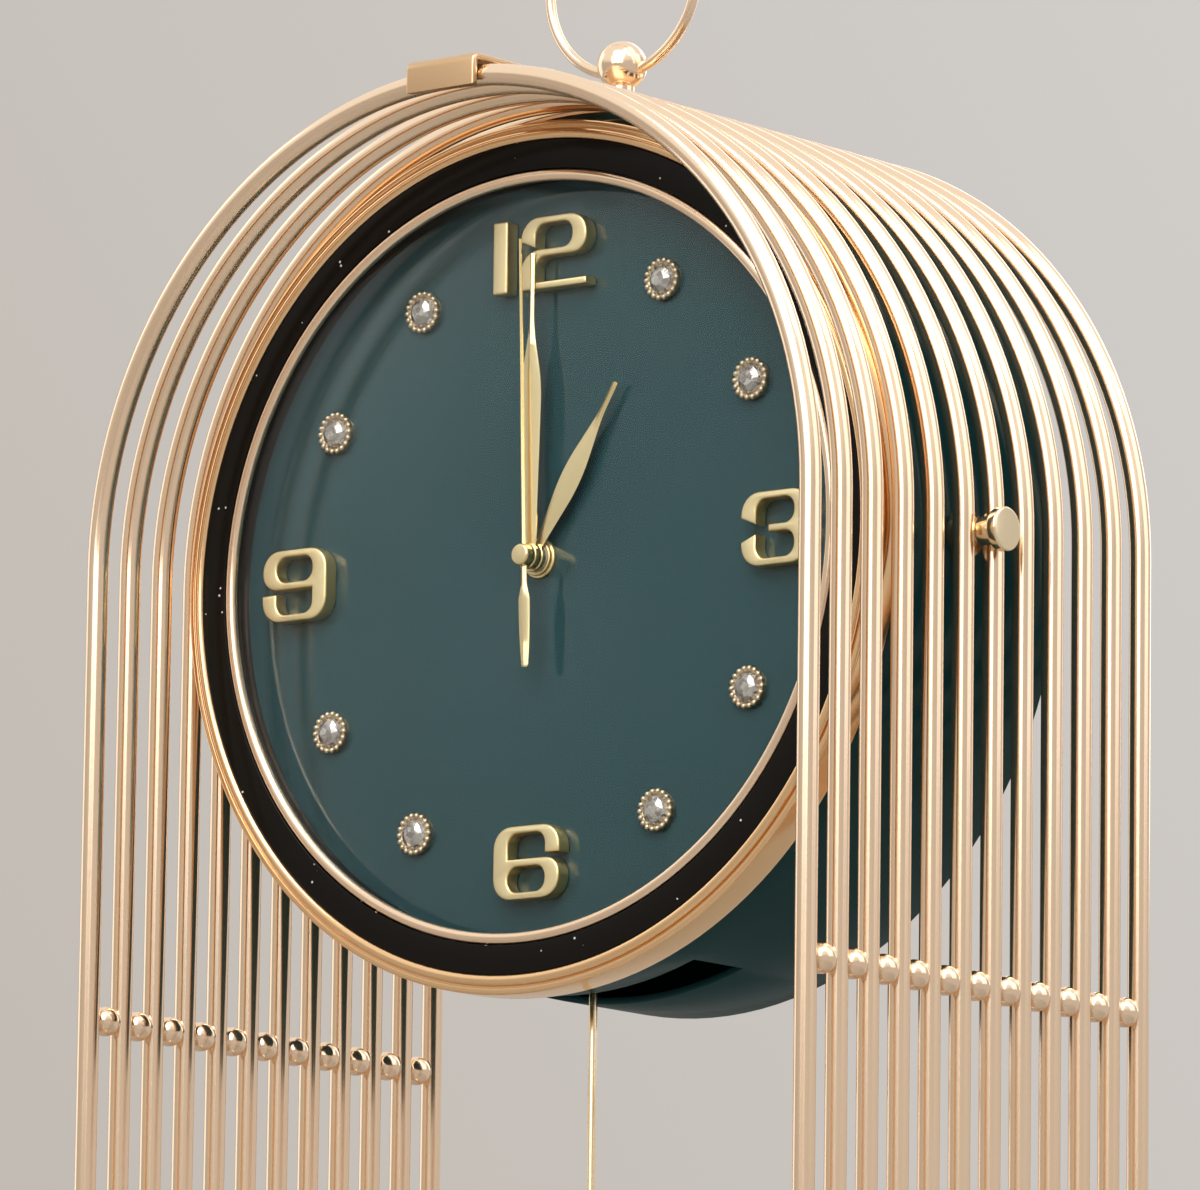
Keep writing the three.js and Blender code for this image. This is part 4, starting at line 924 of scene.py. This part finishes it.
# Foil behind the cut glass makes each facet a small mirror. The light and dark fields of the back facets
# are painted reflections: the base colour changes at random from one small cell to the next.
stone_gloss = {"Metallic": 0.75, "Coat Weight": 1.0, "Coat Roughness": 0.02}
crystal = mottled("foil_backed_crystal", STONE_SPARKLE, {"Roughness": (0.08, 0.2)}, stone_gloss)
tree = crystal.node_tree
place = add_node(tree, "ShaderNodeTexCoord").outputs["Object"]
fields = add_node(tree, "ShaderNodeTexVoronoi", {"Vector": place, "Scale": 1 / STONE_FACET})
chance = add_node(tree, "ShaderNodeSeparateColor", {0: fields.outputs["Color"]})
# Painted reflections: each cell gets a base colour between the dark and the light facet tone.
spread(crystal, chance.outputs[0], {"Base Color": (STONE_PAINTED_DARK_FACET, STONE_PAINTED_GLINT)})

# Rose gold plating is greyer than the figures' gold, so that the beads stay quiet beside the stone. Its sides
# are painted a darker gold as shade.
setting_gold = satin_gold("rose_gold_plating", (SETTING_GOLD, SETTING_SIDE_PAINTED_SHADE), polish=(0.38, 0.34))

setting_shape = hoop(SETTING_BORE, SETTING_RADIUS, 0, SETTING_HEIGHT, SETTING_EDGE, ROUND_STEPS)
bead_angles = [math.pi * i / BEAD_ROWS for i in range(BEAD_ROWS + 1)]
bead_profile = [(BEAD_RADIUS * math.sin(a), BEAD_RADIUS * math.cos(a)) for a in bead_angles]
bead_shape = turned(bead_profile, BEAD_SIDES)
for x, y in circle(0, 0, BEAD_CIRCLE, BEAD_COUNT):
    setting_shape = joined(setting_shape, moved(bead_shape, Matrix.Translation((x, y, BEAD_LIFT))))

stone_points = []
for row, (radius, height) in enumerate(STONE_STEPS):
    twist = Matrix.Rotation(math.pi * row / STONE_SIDES, 2)
    for x, y in [twist @ corner for corner in circle(0, 0, radius * MM, STONE_SIDES)]:
        stone_points.append(Vector((x, y, height * MM)))
last_row = len(stone_points) - STONE_SIDES
stone_faces = [list(range(STONE_SIDES)), list(range(last_row, len(stone_points)))]
for lower in range(0, last_row, STONE_SIDES):
    upper = lower + STONE_SIDES
    for i in range(STONE_SIDES):
        j = (i + 1) % STONE_SIDES
        stone_faces.append([lower + i, lower + j, upper + i])
        stone_faces.append([lower + j, upper + j, upper + i])
stone_shape = stone_points, stone_faces

for hour in STONE_HOURS:
    angle = HOUR_STEP * hour
    spot = Matrix.Translation((MARK_CIRCLE * math.sin(angle), MARK_CIRCLE * math.cos(angle), dial_face))
    shape = moved(setting_shape, head @ spot)
    made(f"setting_{hour:02}", shape, setting_gold, "clock_frame", "gilt", f"jewel_{hour:02}")
    stone = made(f"stone_{hour:02}", moved(stone_shape, head @ spot), crystal, "clock_frame", "glass")
    stone.data.shade_flat()


# Movement: a quartz movement in a moulded plastic case behind the dial. Its bush comes through the dial
# and a round nut clamps it there; a battery lies in a bay at its back, and the pendulum's pin below.
CASE_DEPTH = 16 * MM
CASE_HALF_WIDTH = 30 * MM
CASE_TOP = 29 * MM
CASE_FOOT = -50 * MM
CASE_CORNER = 3 * MM
CASE_BEVEL = 0.4 * MM
FIT = 0.3 * MM
BATTERY_BAY_GAP = 0.4 * MM
KNOB_HOLE_RADIUS = 1.8 * MM
BUSH_RADIUS = 4 * MM
BUSH_BORE = 2.8 * MM
PIVOT_DROP = 22 * MM
PIN_RADIUS = 1.4 * MM
PIN_HEAD_RADIUS = 2.6 * MM
PIN_HEAD_LENGTH = 1 * MM
NUT_FLANGE_HEIGHT = 1.1 * MM
NUT_NECK_RADIUS = 4.9 * MM
NUT_EDGE = 0.35 * MM
CASE_PLASTIC = "#D8D6D0"
PLASTIC_GRAIN = 1.2 * MM  # coarser than the real spark-eroded grain, so that it shows

# Moulded ABS is an even off-white with a fine spark-eroded grain and a soft sheen.
case_tone = {"Base Color": linear(CASE_PLASTIC)}
case_plastic = mottled("moulded_white_abs", PLASTIC_GRAIN, {"Roughness": (0.38, 0.55)}, case_tone)
roughen(case_plastic, PLASTIC_GRAIN, strength=0.15, depth=0.1 * MM)

case_front = back_of("dial")
case_back = case_front - FIT - CASE_DEPTH
case_outline = panel(-CASE_HALF_WIDTH, CASE_FOOT, CASE_HALF_WIDTH, CASE_TOP, CASE_CORNER)
battery_low, battery_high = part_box("battery")
bay_outline = panel(
    battery_low.x - BATTERY_BAY_GAP,
    battery_low.z - dial_centre.z - BATTERY_BAY_GAP,
    battery_high.x + BATTERY_BAY_GAP,
    battery_high.z - dial_centre.z + BATTERY_BAY_GAP,
)
bay_floor = front_of("battery") + BATTERY_BAY_GAP
knob_hole = circle(0, 0, KNOB_HOLE_RADIUS, HOLE_STEPS)
front_half = slab([case_outline], bay_floor, case_front, FIT)
back_half = slab([case_outline, bay_outline, knob_hole], case_back, bay_floor, CASE_BEVEL)
nut_front = front_of("dial_nut")
bush = hoop(BUSH_BORE, BUSH_RADIUS, case_front, nut_front, steps=ROUND_STEPS)
pin_end = back_of("movement_case")
pin_shank = (PIN_RADIUS, pin_end + PIN_HEAD_LENGTH, 0, 0)
pin_head = (PIN_HEAD_RADIUS, pin_end, FIT, FIT)
pin = moved(stacked(0, case_back + FIT, pin_shank, pin_head), Matrix.Translation((0, -PIVOT_DROP, 0)))
case_shape = moved(joined(front_half, back_half, bush, pin), head)
made("quartz_case", case_shape, case_plastic, "clock_frame", "plastic", "movement_case")

nut_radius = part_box("dial_nut")[1].x
nut_flange = (nut_radius, dial_face + NUT_FLANGE_HEIGHT, 0, NUT_EDGE)
nut_neck = (NUT_NECK_RADIUS, nut_front, NUT_EDGE / 2, NUT_EDGE)
collar_shape = moved(stacked(BUSH_RADIUS, dial_face, nut_flange, nut_neck), head)
made("dial_collar", collar_shape, figure_gold, "clock_frame", "gilt", "dial_nut")


# Setting knob: a ribbed wheel of the same moulded plastic on the movement's back, to set the hands. Its
# shaft is pressed into the movement.
KNOB_SHAFT_RADIUS = 1.5 * MM
KNOB_RIBS = 28
KNOB_RIB_DEPTH = 0.5 * MM
KNOB_BEVEL = 0.2 * MM
RIB_CORNERS = 4


def ribbed(radius, depth, ribs):
    """A round outline with straight ribs across its edge."""
    points = circle(0, 0, radius, RIB_CORNERS * ribs)
    sunk = (radius - depth) / radius
    return [point if i % RIB_CORNERS < RIB_CORNERS / 2 else point * sunk for i, point in enumerate(points)]


wheel_front = case_back - FIT
wheel_outline = ribbed(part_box("setting_knob")[1].x, KNOB_RIB_DEPTH, KNOB_RIBS)
knob_wheel = slab([wheel_outline], back_of("setting_knob"), wheel_front, KNOB_BEVEL)
knob_length = (KNOB_SHAFT_RADIUS, front_of("setting_knob"), 0, 0)
knob_shaft = stacked(0, wheel_front - 2 * KNOB_BEVEL, knob_length)
knob_shape = moved(joined(knob_wheel, knob_shaft), head)
made("hand_setter", knob_shape, case_plastic, "setting_wheel", "plastic", "setting_knob")


# Battery: one drawn steel can, rolled in at both ends, with a raised button on top and a plain foil jacket.
# It is pushed into its bay against a spring.
BUTTON_RADIUS = 2.75 * MM
BUTTON_HEIGHT = 1.4 * MM
BATTERY_ROLL = 1.2 * MM
FOIL_BAND = 0.74
FOIL_GREEN = "#3A5E49"
FOIL_BARE = "#C7A36A"
FOIL_SCUFF = 6 * MM

# Lacquered foil is a coloured mirror, dull green below and bare brass tone round the top.
foil = mottled("lacquered_battery_foil", FOIL_SCUFF, {"Roughness": (0.25, 0.45)}, {"Metallic": 0.8})
tree = foil.node_tree
place = add_node(tree, "ShaderNodeTexCoord").outputs["Generated"]
level = add_node(tree, "ShaderNodeSeparateXYZ", {0: place})
band = add_node(tree, "ShaderNodeMath", {0: level.outputs["Z"], 1: FOIL_BAND}, operation="GREATER_THAN")
spread(foil, band.outputs[0], {"Base Color": (FOIL_GREEN, FOIL_BARE)})

battery_radius = (battery_high.x - battery_low.x) / 2
battery_length = battery_high.z - battery_low.z
can = (battery_radius, battery_length - BUTTON_HEIGHT, BATTERY_ROLL, BATTERY_ROLL)
button = (BUTTON_RADIUS, battery_length, FIT, FIT)
battery_middle = (battery_low + battery_high) / 2
battery_place = Matrix.Translation((battery_middle.x, battery_middle.y, battery_low.z))
battery_shape = moved(stacked(0, 0, can, button), battery_place)
made("dry_cell", battery_shape, foil, "clock_frame", "battery_foil", "battery")


# Hands: leaves pressed from brass and gilded, each with a crease down its middle, on a boss whose tube
# slides over the movement's arbor. The second hand is a wire-thin blade with a paddle tail and a domed
# cap, and stands just before twelve.
HAND_THICKNESS = 0.8 * MM
HAND_EDGE = 0.3 * MM
HAND_BEND = 50 * MM
HAND_BEND_STEPS = 10
HOUR_ANGLE = math.radians(31.5)
HOUR_LENGTH = 53.5 * MM
HOUR_SHOULDER = 24.5 * MM
HOUR_ROOT = 1.4 * MM
HOUR_WIDTH = 8 * MM
HOUR_NEEDLE = 1.8 * MM
HOUR_NEEDLE_LENGTH = 10 * MM
HOUR_BOSS_RADIUS = 4.15 * MM
HOUR_TUBE_RADIUS = 2.9 * MM
HOUR_TUBE_BORE = 2.1 * MM
MINUTE_LENGTH = 84 * MM
MINUTE_SHOULDER = 47.5 * MM
MINUTE_ROOT = 4.8 * MM
MINUTE_WIDTH = 7.5 * MM
MINUTE_NEEDLE = 1.5 * MM
MINUTE_NEEDLE_LENGTH = 21 * MM
MINUTE_BOSS_RADIUS = 3.6 * MM
MINUTE_TUBE_RADIUS = 1.8 * MM
MINUTE_TUBE_BORE = 1.0 * MM
BOSS_EDGE = 0.4 * MM
BOSS_PROUD = 0.6 * MM
SECOND_ANGLE = math.radians(-1.8)
SECOND_LENGTH = 88 * MM
SECOND_HALF_WIDTH = 0.65 * MM
SECOND_TIP = 0.35 * MM
SECOND_STALK = 0.9 * MM
SECOND_STALK_END = -8 * MM
SECOND_PADDLE = 1.9 * MM
SECOND_PADDLE_TOP = -12 * MM
SECOND_PADDLE_FOOT = -22 * MM
SECOND_TAIL_ROUND = 1.1 * MM
SECOND_TAIL_BEND = 180 * MM
SECOND_TAIL_END = -31 * MM
SECOND_CAP_RADIUS = 3.1 * MM
SECOND_CAP_HEIGHT = 2.4 * MM
SECOND_PIN_RADIUS = 0.7 * MM
CAP_EDGE = 0.9 * MM


def blade(right_edge, back, steps=CORNER_STEPS):
    """A thin blade along +Y, creased along its middle, from the corners (half width, distance, radius)."""
    left_edge = [(-x, y, radius) for x, y, radius in reversed(right_edge)]
    front = back + HAND_EDGE
    ridge = back + HAND_THICKNESS
    rings = []
    for half, along in rounded(right_edge + left_edge, steps):
        if half > 0:
            section = ((-half, back), (half, back), (half, front), (0, ridge), (-half, front))
            rings.append([Vector((x, along, level)) for x, level in section])
    return lofted(rings)


def leaf(length, shoulder, root, width, needle, needle_length):
    """The right edge of a leaf that swells to a rounded shoulder, then narrows to a blunt needle."""
    tip_round = needle / 3
    return [
        (root / 2, 0, 0),
        (width / 2, shoulder, HAND_BEND),
        (needle / 2, length - needle_length, HAND_BEND),
        (needle / 2, length, tip_round),
    ]


def leaf_hand(node, right_edge, boss_radius, tube_radius, bore):
    """A leaf on its round boss, with the tube behind it, pointing at twelve."""
    front = front_of(node)
    back = front - HAND_THICKNESS - BOSS_PROUD
    tube = (tube_radius, back, 0, 0)
    boss = (boss_radius, front, 0, BOSS_EDGE)
    return joined(blade(right_edge, back, HAND_BEND_STEPS), stacked(bore, back_of(node), tube, boss))


# Gilded brass with a satin face; the narrow edges are brighter, painted a deeper gold as shade, and outline
# each hand.
hand_gold = satin_gold("satin_gold_hands", (FIGURE_GOLD, FIGURE_SIDE_PAINTED_SHADE), polish=(0.3, 0.15))

hour_edge = leaf(HOUR_LENGTH, HOUR_SHOULDER, HOUR_ROOT, HOUR_WIDTH, HOUR_NEEDLE, HOUR_NEEDLE_LENGTH)
hour_shape = leaf_hand("hour_hand", hour_edge, HOUR_BOSS_RADIUS, HOUR_TUBE_RADIUS, HOUR_TUBE_BORE)
hour_shape = moved(hour_shape, head @ Matrix.Rotation(-HOUR_ANGLE, 4, "Z"))
made("hour_leaf", hour_shape, hand_gold, "hour_wheel", "gilt", "hour_hand")

minute_needle = (MINUTE_NEEDLE, MINUTE_NEEDLE_LENGTH)
minute_edge = leaf(MINUTE_LENGTH, MINUTE_SHOULDER, MINUTE_ROOT, MINUTE_WIDTH, *minute_needle)
minute_shape = leaf_hand("minute_hand", minute_edge, MINUTE_BOSS_RADIUS, MINUTE_TUBE_RADIUS, MINUTE_TUBE_BORE)
made("minute_leaf", moved(minute_shape, head), hand_gold, "minute_wheel", "gilt", "minute_hand")

cap_front = front_of("second_hand")
cap_back = cap_front - SECOND_CAP_HEIGHT
second_edge = [
    (SECOND_TAIL_ROUND, SECOND_TAIL_END, SECOND_TAIL_ROUND - SECOND_TIP),
    (SECOND_PADDLE, SECOND_PADDLE_FOOT, SECOND_TAIL_BEND),
    (SECOND_PADDLE, SECOND_PADDLE_TOP, SECOND_PADDLE),
    (SECOND_STALK, SECOND_STALK_END, SECOND_STALK),
    (SECOND_STALK, 0, 0),
    (SECOND_HALF_WIDTH, SECOND_CAP_RADIUS, 0),
    (SECOND_TIP, SECOND_LENGTH, 0),
]
second_pin = (SECOND_PIN_RADIUS, cap_back, 0, 0)
second_cap = (SECOND_CAP_RADIUS, cap_front, 0, CAP_EDGE)
cap_shape = stacked(0, back_of("second_hand"), second_pin, second_cap)
second_shape = joined(blade(second_edge, cap_back), cap_shape)
second_shape = moved(second_shape, head @ Matrix.Rotation(-SECOND_ANGLE, 4, "Z"))
made("second_needle", second_shape, hand_gold, "second_wheel", "gilt", "second_hand")


# Spacer: a ring moulded from black plastic that stands round the dial's edge and holds the glass off it.
# It is the dark wall behind the inner gold ring.
SPACER_WALL = 2.8 * MM
SPACER_EDGE = 0.3 * MM
SPACER_BLACK = "#0E0C0B"
SPACER_BROWN = "#15110F"
SPACER_STREAK = 4 * MM

# Moulded black styrene has a soft gloss and faint flow marks.
spacer_spans = {"Base Color": (SPACER_BLACK, SPACER_BROWN), "Roughness": (0.4, 0.55)}
black_styrene = mottled("moulded_black_styrene", SPACER_STREAK, spacer_spans, {"Specular IOR Level": 0.25})

spacer_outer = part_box("dial_spacer")[1].x
glass_back = back_of("glass")
spacer_shape = hoop(spacer_outer - SPACER_WALL, spacer_outer, dial_face, glass_back, SPACER_EDGE)
made("spacer_wall", moved(spacer_shape, head), black_styrene, "clock_frame", "black_lacquer", "dial_spacer")


# Glass: a round of clear mineral glass, slumped to a shallow dome with a flat ground rim and coated
# against glare. The inner ring presses it against the spacer.
GLASS_THICKNESS = 2 * MM
DOME_RADIUS = 103.3 * MM
DOME_RISE = 12 * MM
DOME_STEPS = 28
GLASS_CLEAR = "#F8FBFA"
GLASS_COATING = "#20262A"
GLASS_WAVE = 40 * MM

# Coated glass hardly shows from the front and mirrors only where it slopes away; light from the lamps goes
# straight through it to the dial.
glass_look = {
    "Base Color": linear(GLASS_CLEAR),
    "Roughness": 0.0,
    "IOR": 1.46,
    "Specular Tint": linear(GLASS_COATING),
    "Transmission Weight": 1.0,
}
mineral_glass = new_finish("clear_mineral_glass", glass_look)
roughen(mineral_glass, GLASS_WAVE, strength=0.01, depth=0.2 * MM)
tree = mineral_glass.node_tree
shadow = add_node(tree, "ShaderNodeLightPath").outputs["Is Shadow Ray"]
clear = tree.nodes["Principled BSDF"].outputs[0]
through = add_node(tree, "ShaderNodeBsdfTransparent").outputs[0]
mixed = add_node(tree, "ShaderNodeMixShader", {0: shadow, 1: clear, 2: through})
tree.links.new(mixed.outputs[0], tree.nodes["Material Output"].inputs["Surface"])

glass_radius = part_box("glass")[1].x
dome_sphere = (DOME_RADIUS**2 + DOME_RISE**2) / (2 * DOME_RISE)
dome = []
for i in range(DOME_STEPS + 1):
    across = DOME_RADIUS * i / DOME_STEPS
    dome.append((across, glass_back + DOME_RISE - dome_sphere + math.sqrt(dome_sphere**2 - across**2)))
glass_profile = dome + [(glass_radius, glass_back), (glass_radius, glass_back + GLASS_THICKNESS)]
glass_profile += [(across, level + GLASS_THICKNESS) for across, level in reversed(dome)]
glass_shape = moved(turned(glass_profile, BIG_ROUND_STEPS), head)
made("dome_glass", glass_shape, mineral_glass, "clock_frame", "glass", "glass")


# Inner ring: a half-round brass ring, turned and plated pale gold like the cage. It lies over the edge of
# the glass.
INNER_RING_WIDTH = 3.1 * MM
INNER_RING_CURVE = 1.3 * MM

rim_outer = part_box("inner_ring")[1].x
rim_back = glass_back + GLASS_THICKNESS
rim_front = front_of("inner_ring")
rim_shape = hoop(rim_outer - INNER_RING_WIDTH, rim_outer, rim_back, rim_front, INNER_RING_CURVE)
made("inner_rim", moved(rim_shape, head), cage_gold, "clock_frame", "gilt", "inner_ring")


# Black ring: a flat ring of black acrylic with silver flakes cast into it, polished, let in between the
# inner ring and the bezel.
BLACK_RING_WIDTH = 8 * MM
BLACK_RING_EDGE = 0.25 * MM
ACRYLIC_BLACK = "#14110D"
FLAKE_SILVER = "#E8E6E0"
FLAKE_SPACING = 3.4 * MM  # wider apart than real glitter, whose finest flakes the eye doesn't part
FLAKE_RADIUS = 0.34 * MM
FLAKE_CLUSTER = 14 * MM
FLAKE_CLUSTER_LEVEL = 0.54

# Flaked acrylic is a deep glossy black in which a few flakes flash white, in small groups.
flake_gloss = {"Specular IOR Level": 0.12}
flaked_acrylic = mottled("flaked_black_acrylic", FLAKE_CLUSTER, {"Roughness": (0.12, 0.22)}, flake_gloss)
tree = flaked_acrylic.node_tree
place = add_node(tree, "ShaderNodeTexCoord").outputs["Object"]
flakes = add_node(tree, "ShaderNodeTexVoronoi", {"Vector": place, "Scale": 1 / FLAKE_SPACING})
reach = {0: flakes.outputs["Distance"], 1: FLAKE_RADIUS / FLAKE_SPACING}
near = add_node(tree, "ShaderNodeMath", reach, operation="LESS_THAN")
group = add_node(tree, "ShaderNodeTexNoise", {"Vector": place, "Scale": 1 / FLAKE_CLUSTER})
crowd = {0: group.outputs["Fac"], 1: FLAKE_CLUSTER_LEVEL}
grouped = add_node(tree, "ShaderNodeMath", crowd, operation="GREATER_THAN")
flash = add_node(tree, "ShaderNodeMath", {0: near.outputs[0], 1: grouped.outputs[0]}, operation="MULTIPLY")
spread(flaked_acrylic, flash.outputs[0], {"Base Color": (ACRYLIC_BLACK, FLAKE_SILVER)})

band_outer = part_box("black_ring")[1].x
band_front = front_of("black_ring")
band_shape = hoop(band_outer - BLACK_RING_WIDTH, band_outer, rim_back, band_front, BLACK_RING_EDGE)
made("flaked_ring", moved(band_shape, head), flaked_acrylic, "clock_frame", "black_lacquer", "black_ring")


# Bezel: a spun brass hoop plated a richer gold. A bead runs round its front, then a groove, then a flat
# skirt that slips over the drum and grips it.
BEZEL_BORE = 115.1 * MM
BEAD_OUTER = 118.2 * MM
BEAD_CURVE = 1.3 * MM
GROOVE_WIDTH = 0.5 * MM
GROOVE_DEPTH = 1.7 * MM
SHOULDER_DROP = 1.1 * MM
SHOULDER_CURVE = 0.8 * MM
SKIRT_BORE = 118.3 * MM
SKIRT_EDGE = 0.4 * MM
BEZEL_GOLD = "#F5CFA2"
BEZEL_GOLD_WARM = "#EEC390"

# Rich gold plating is more yellow than the cage's and polished to the same mirror.
bezel_gold = gold_plating("rich_gold_plating", (BEZEL_GOLD, BEZEL_GOLD_WARM), PLATING_POLISH)

bezel_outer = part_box("bezel")[1].x
bezel_crest = front_of("bezel")
bezel_back = back_of("bezel")
groove_outer = BEAD_OUTER + GROOVE_WIDTH
bezel_shape = lathed(
    [
        (BEZEL_BORE, drum_front, 0),
        (BEZEL_BORE, bezel_crest, BEAD_CURVE),
        (BEAD_OUTER, bezel_crest, BEAD_CURVE),
        (BEAD_OUTER, bezel_crest - GROOVE_DEPTH, 0),
        (groove_outer, bezel_crest - GROOVE_DEPTH, 0),
        (groove_outer, bezel_crest - SHOULDER_DROP, SKIRT_EDGE / 2),
        (bezel_outer, bezel_crest - SHOULDER_DROP, SHOULDER_CURVE),
        (bezel_outer, bezel_back, SKIRT_EDGE),
        (SKIRT_BORE, bezel_back, SKIRT_EDGE),
        (SKIRT_BORE, drum_front, 0),
    ],
    BIG_ROUND_STEPS,
)
made("bezel_hoop", moved(bezel_shape, head), bezel_gold, "clock_frame", "gilt", "bezel")


# Side bolts: turned brass bolts with flat polished heads, plated champagne gold. Each goes through the gap
# between the middle rods and a bush into the drum's wall, where a hexagon nut holds it.
BOLT_RADIUS = 2.5 * MM
BOLT_NECK_RADIUS = 4 * MM
BOLT_HEAD_THICKNESS = 3.2 * MM
BOLT_HEAD_BEVEL = 0.7 * MM
BOLT_NUT_FLATS = 8 * MM
BUSH_EDGE = 0.4 * MM
BOLT_GOLD = "#F9EACB"
BOLT_GOLD_WARM = "#F3DFB8"

# Champagne gold plating is the palest of the golds, polished to the same mirror.
bolt_gold = gold_plating("champagne_gold_plating", (BOLT_GOLD, BOLT_GOLD_WARM), PLATING_POLISH)

neck_seat = ARCH_RADIUS + math.sqrt(ROD_RADIUS**2 - (ROD_PITCH / 2 - BOLT_NECK_RADIUS) ** 2)
for side, turn in (("right", 0), ("left", math.pi)):
    low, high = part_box("side_bolt_" + side)
    head_face = max(abs(low.x), abs(high.x))
    bolt_end = min(abs(low.x), abs(high.x))
    sideways = Matrix.Translation((0, 0, dial_centre.z)) @ Matrix.Rotation(turn, 4, "Z")
    sideways = sideways @ Matrix.Rotation(math.pi / 2, 4, "Y")
    bolt_shank = (BOLT_RADIUS, neck_seat, BUSH_EDGE, 0)
    bolt_neck = (BOLT_NECK_RADIUS, head_face - BOLT_HEAD_THICKNESS, BUSH_EDGE, 0)
    bolt_head = (high.y, head_face, BOLT_HEAD_BEVEL, BOLT_HEAD_BEVEL)
    bolt_shape = moved(stacked(0, bolt_end, bolt_shank, bolt_neck, bolt_head), sideways)
    made("bolt_" + side, bolt_shape, bolt_gold, "clock_frame", "gilt", "side_bolt_" + side)

    bush_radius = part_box("side_bush_" + side)[1].y
    bush_length = (bush_radius, ARCH_RADIUS - ROD_RADIUS, BUSH_EDGE, BUSH_EDGE)
    bush_shape = moved(stacked(BOLT_RADIUS, drum_radius, bush_length), sideways)
    made("bush_" + side, bush_shape, cage_gold, "clock_frame", "gilt", "side_bush_" + side)

    nut_outlines = [hexagon(BOLT_NUT_FLATS), circle(0, 0, BOLT_RADIUS, HOLE_STEPS)]
    nut_shape = moved(slab(nut_outlines, bolt_end, drum_radius - DRUM_WALL, NUT_BEVEL), sideways)
    made("bolt_nut_" + side, nut_shape, zinc, "clock_frame", "steel", "side_nut_" + side)


# Pendulum: a thin gold-plated rod in a moulded plastic hanger that swings on the movement's pin. A bob of
# spun brass, shaped like a lens, slides on the rod and rests on a knurled nut.
HANGER_HALF_WIDTH = 4 * MM
HANGER_EDGE = 0.5 * MM
PIVOT_BORE = 1.6 * MM
PENDULUM_ROD_RADIUS = 1.15 * MM
ROD_END = 0.3 * MM
BOB_RIM_THICKNESS = 4 * MM
BOB_GROOVE_RADIUS = 38 * MM
BOB_GROOVE_DEPTH = 0.5 * MM
BOB_GROOVE_HALF = 0.8 * MM
BOB_STEPS = 30
BOB_NUT_RIBS = 20
BOB_NUT_RIB_DEPTH = 0.35 * MM
BOB_NUT_BEVEL = 0.15 * MM

hanger_low, hanger_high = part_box("pendulum_hanger")
hanger_foot = hanger_low.z - dial_centre.z
hanger_top = hanger_high.z - dial_centre.z
hanger_round = HANGER_HALF_WIDTH - HANGER_EDGE
hanger_outline = rounded(
    [
        (-HANGER_HALF_WIDTH, hanger_foot, HANGER_EDGE),
        (HANGER_HALF_WIDTH, hanger_foot, HANGER_EDGE),
        (HANGER_HALF_WIDTH, hanger_top, hanger_round),
        (-HANGER_HALF_WIDTH, hanger_top, hanger_round),
    ]
)
hanger_outlines = [hanger_outline, circle(0, -PIVOT_DROP, PIVOT_BORE, HOLE_STEPS)]
hanger_shape = slab(hanger_outlines, back_of("pendulum_hanger"), front_of("pendulum_hanger"), HANGER_EDGE)
made("swing_hanger", moved(hanger_shape, head), case_plastic, "pendulum", "plastic", "pendulum_hanger")

rod_low, rod_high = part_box("pendulum_rod")
pendulum_y = (rod_low.y + rod_high.y) / 2
pendulum_line = Matrix.Translation((0, pendulum_y, 0))
swing_length = (PENDULUM_ROD_RADIUS, rod_high.z, ROD_END, ROD_END)
swing_shape = moved(stacked(0, rod_low.z, swing_length), pendulum_line)
made("swing_rod", swing_shape, bolt_gold, "pendulum", "gilt", "pendulum_rod")

bob_low, bob_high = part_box("pendulum_bob")
bob_radius = (bob_high.x - bob_low.x) / 2
bob_crown = (bob_high.y - bob_low.y - BOB_RIM_THICKNESS) / 2
bob_front = []
for i in range(BOB_STEPS + 1):
    across = bob_radius * i / BOB_STEPS
    level = BOB_RIM_THICKNESS / 2 + bob_crown * (1 - (across / bob_radius) ** 2)
    level -= BOB_GROOVE_DEPTH * math.exp(-(((across - BOB_GROOVE_RADIUS) / BOB_GROOVE_HALF) ** 2))
    bob_front.append((across, level))
bob_profile = bob_front + [(across, -level) for across, level in reversed(bob_front)]
bob_place = Matrix.Translation((0, pendulum_y, (bob_low.z + bob_high.z) / 2))
bob_place = bob_place @ Matrix.Rotation(math.pi / 2, 4, "X")
bob_shape = moved(turned(bob_profile, BIG_ROUND_STEPS), bob_place)
made("bob", bob_shape, cage_gold, "pendulum", "gilt", "pendulum_bob")

nut_low, nut_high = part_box("bob_nut")
knurl = ribbed(nut_high.x, BOB_NUT_RIB_DEPTH, BOB_NUT_RIBS)
bob_nut_shape = moved(slab([knurl], nut_low.z, nut_high.z, BOB_NUT_BEVEL), pendulum_line)
made("bob_rest_nut", bob_nut_shape, cage_gold, "pendulum", "gilt", "bob_nut")
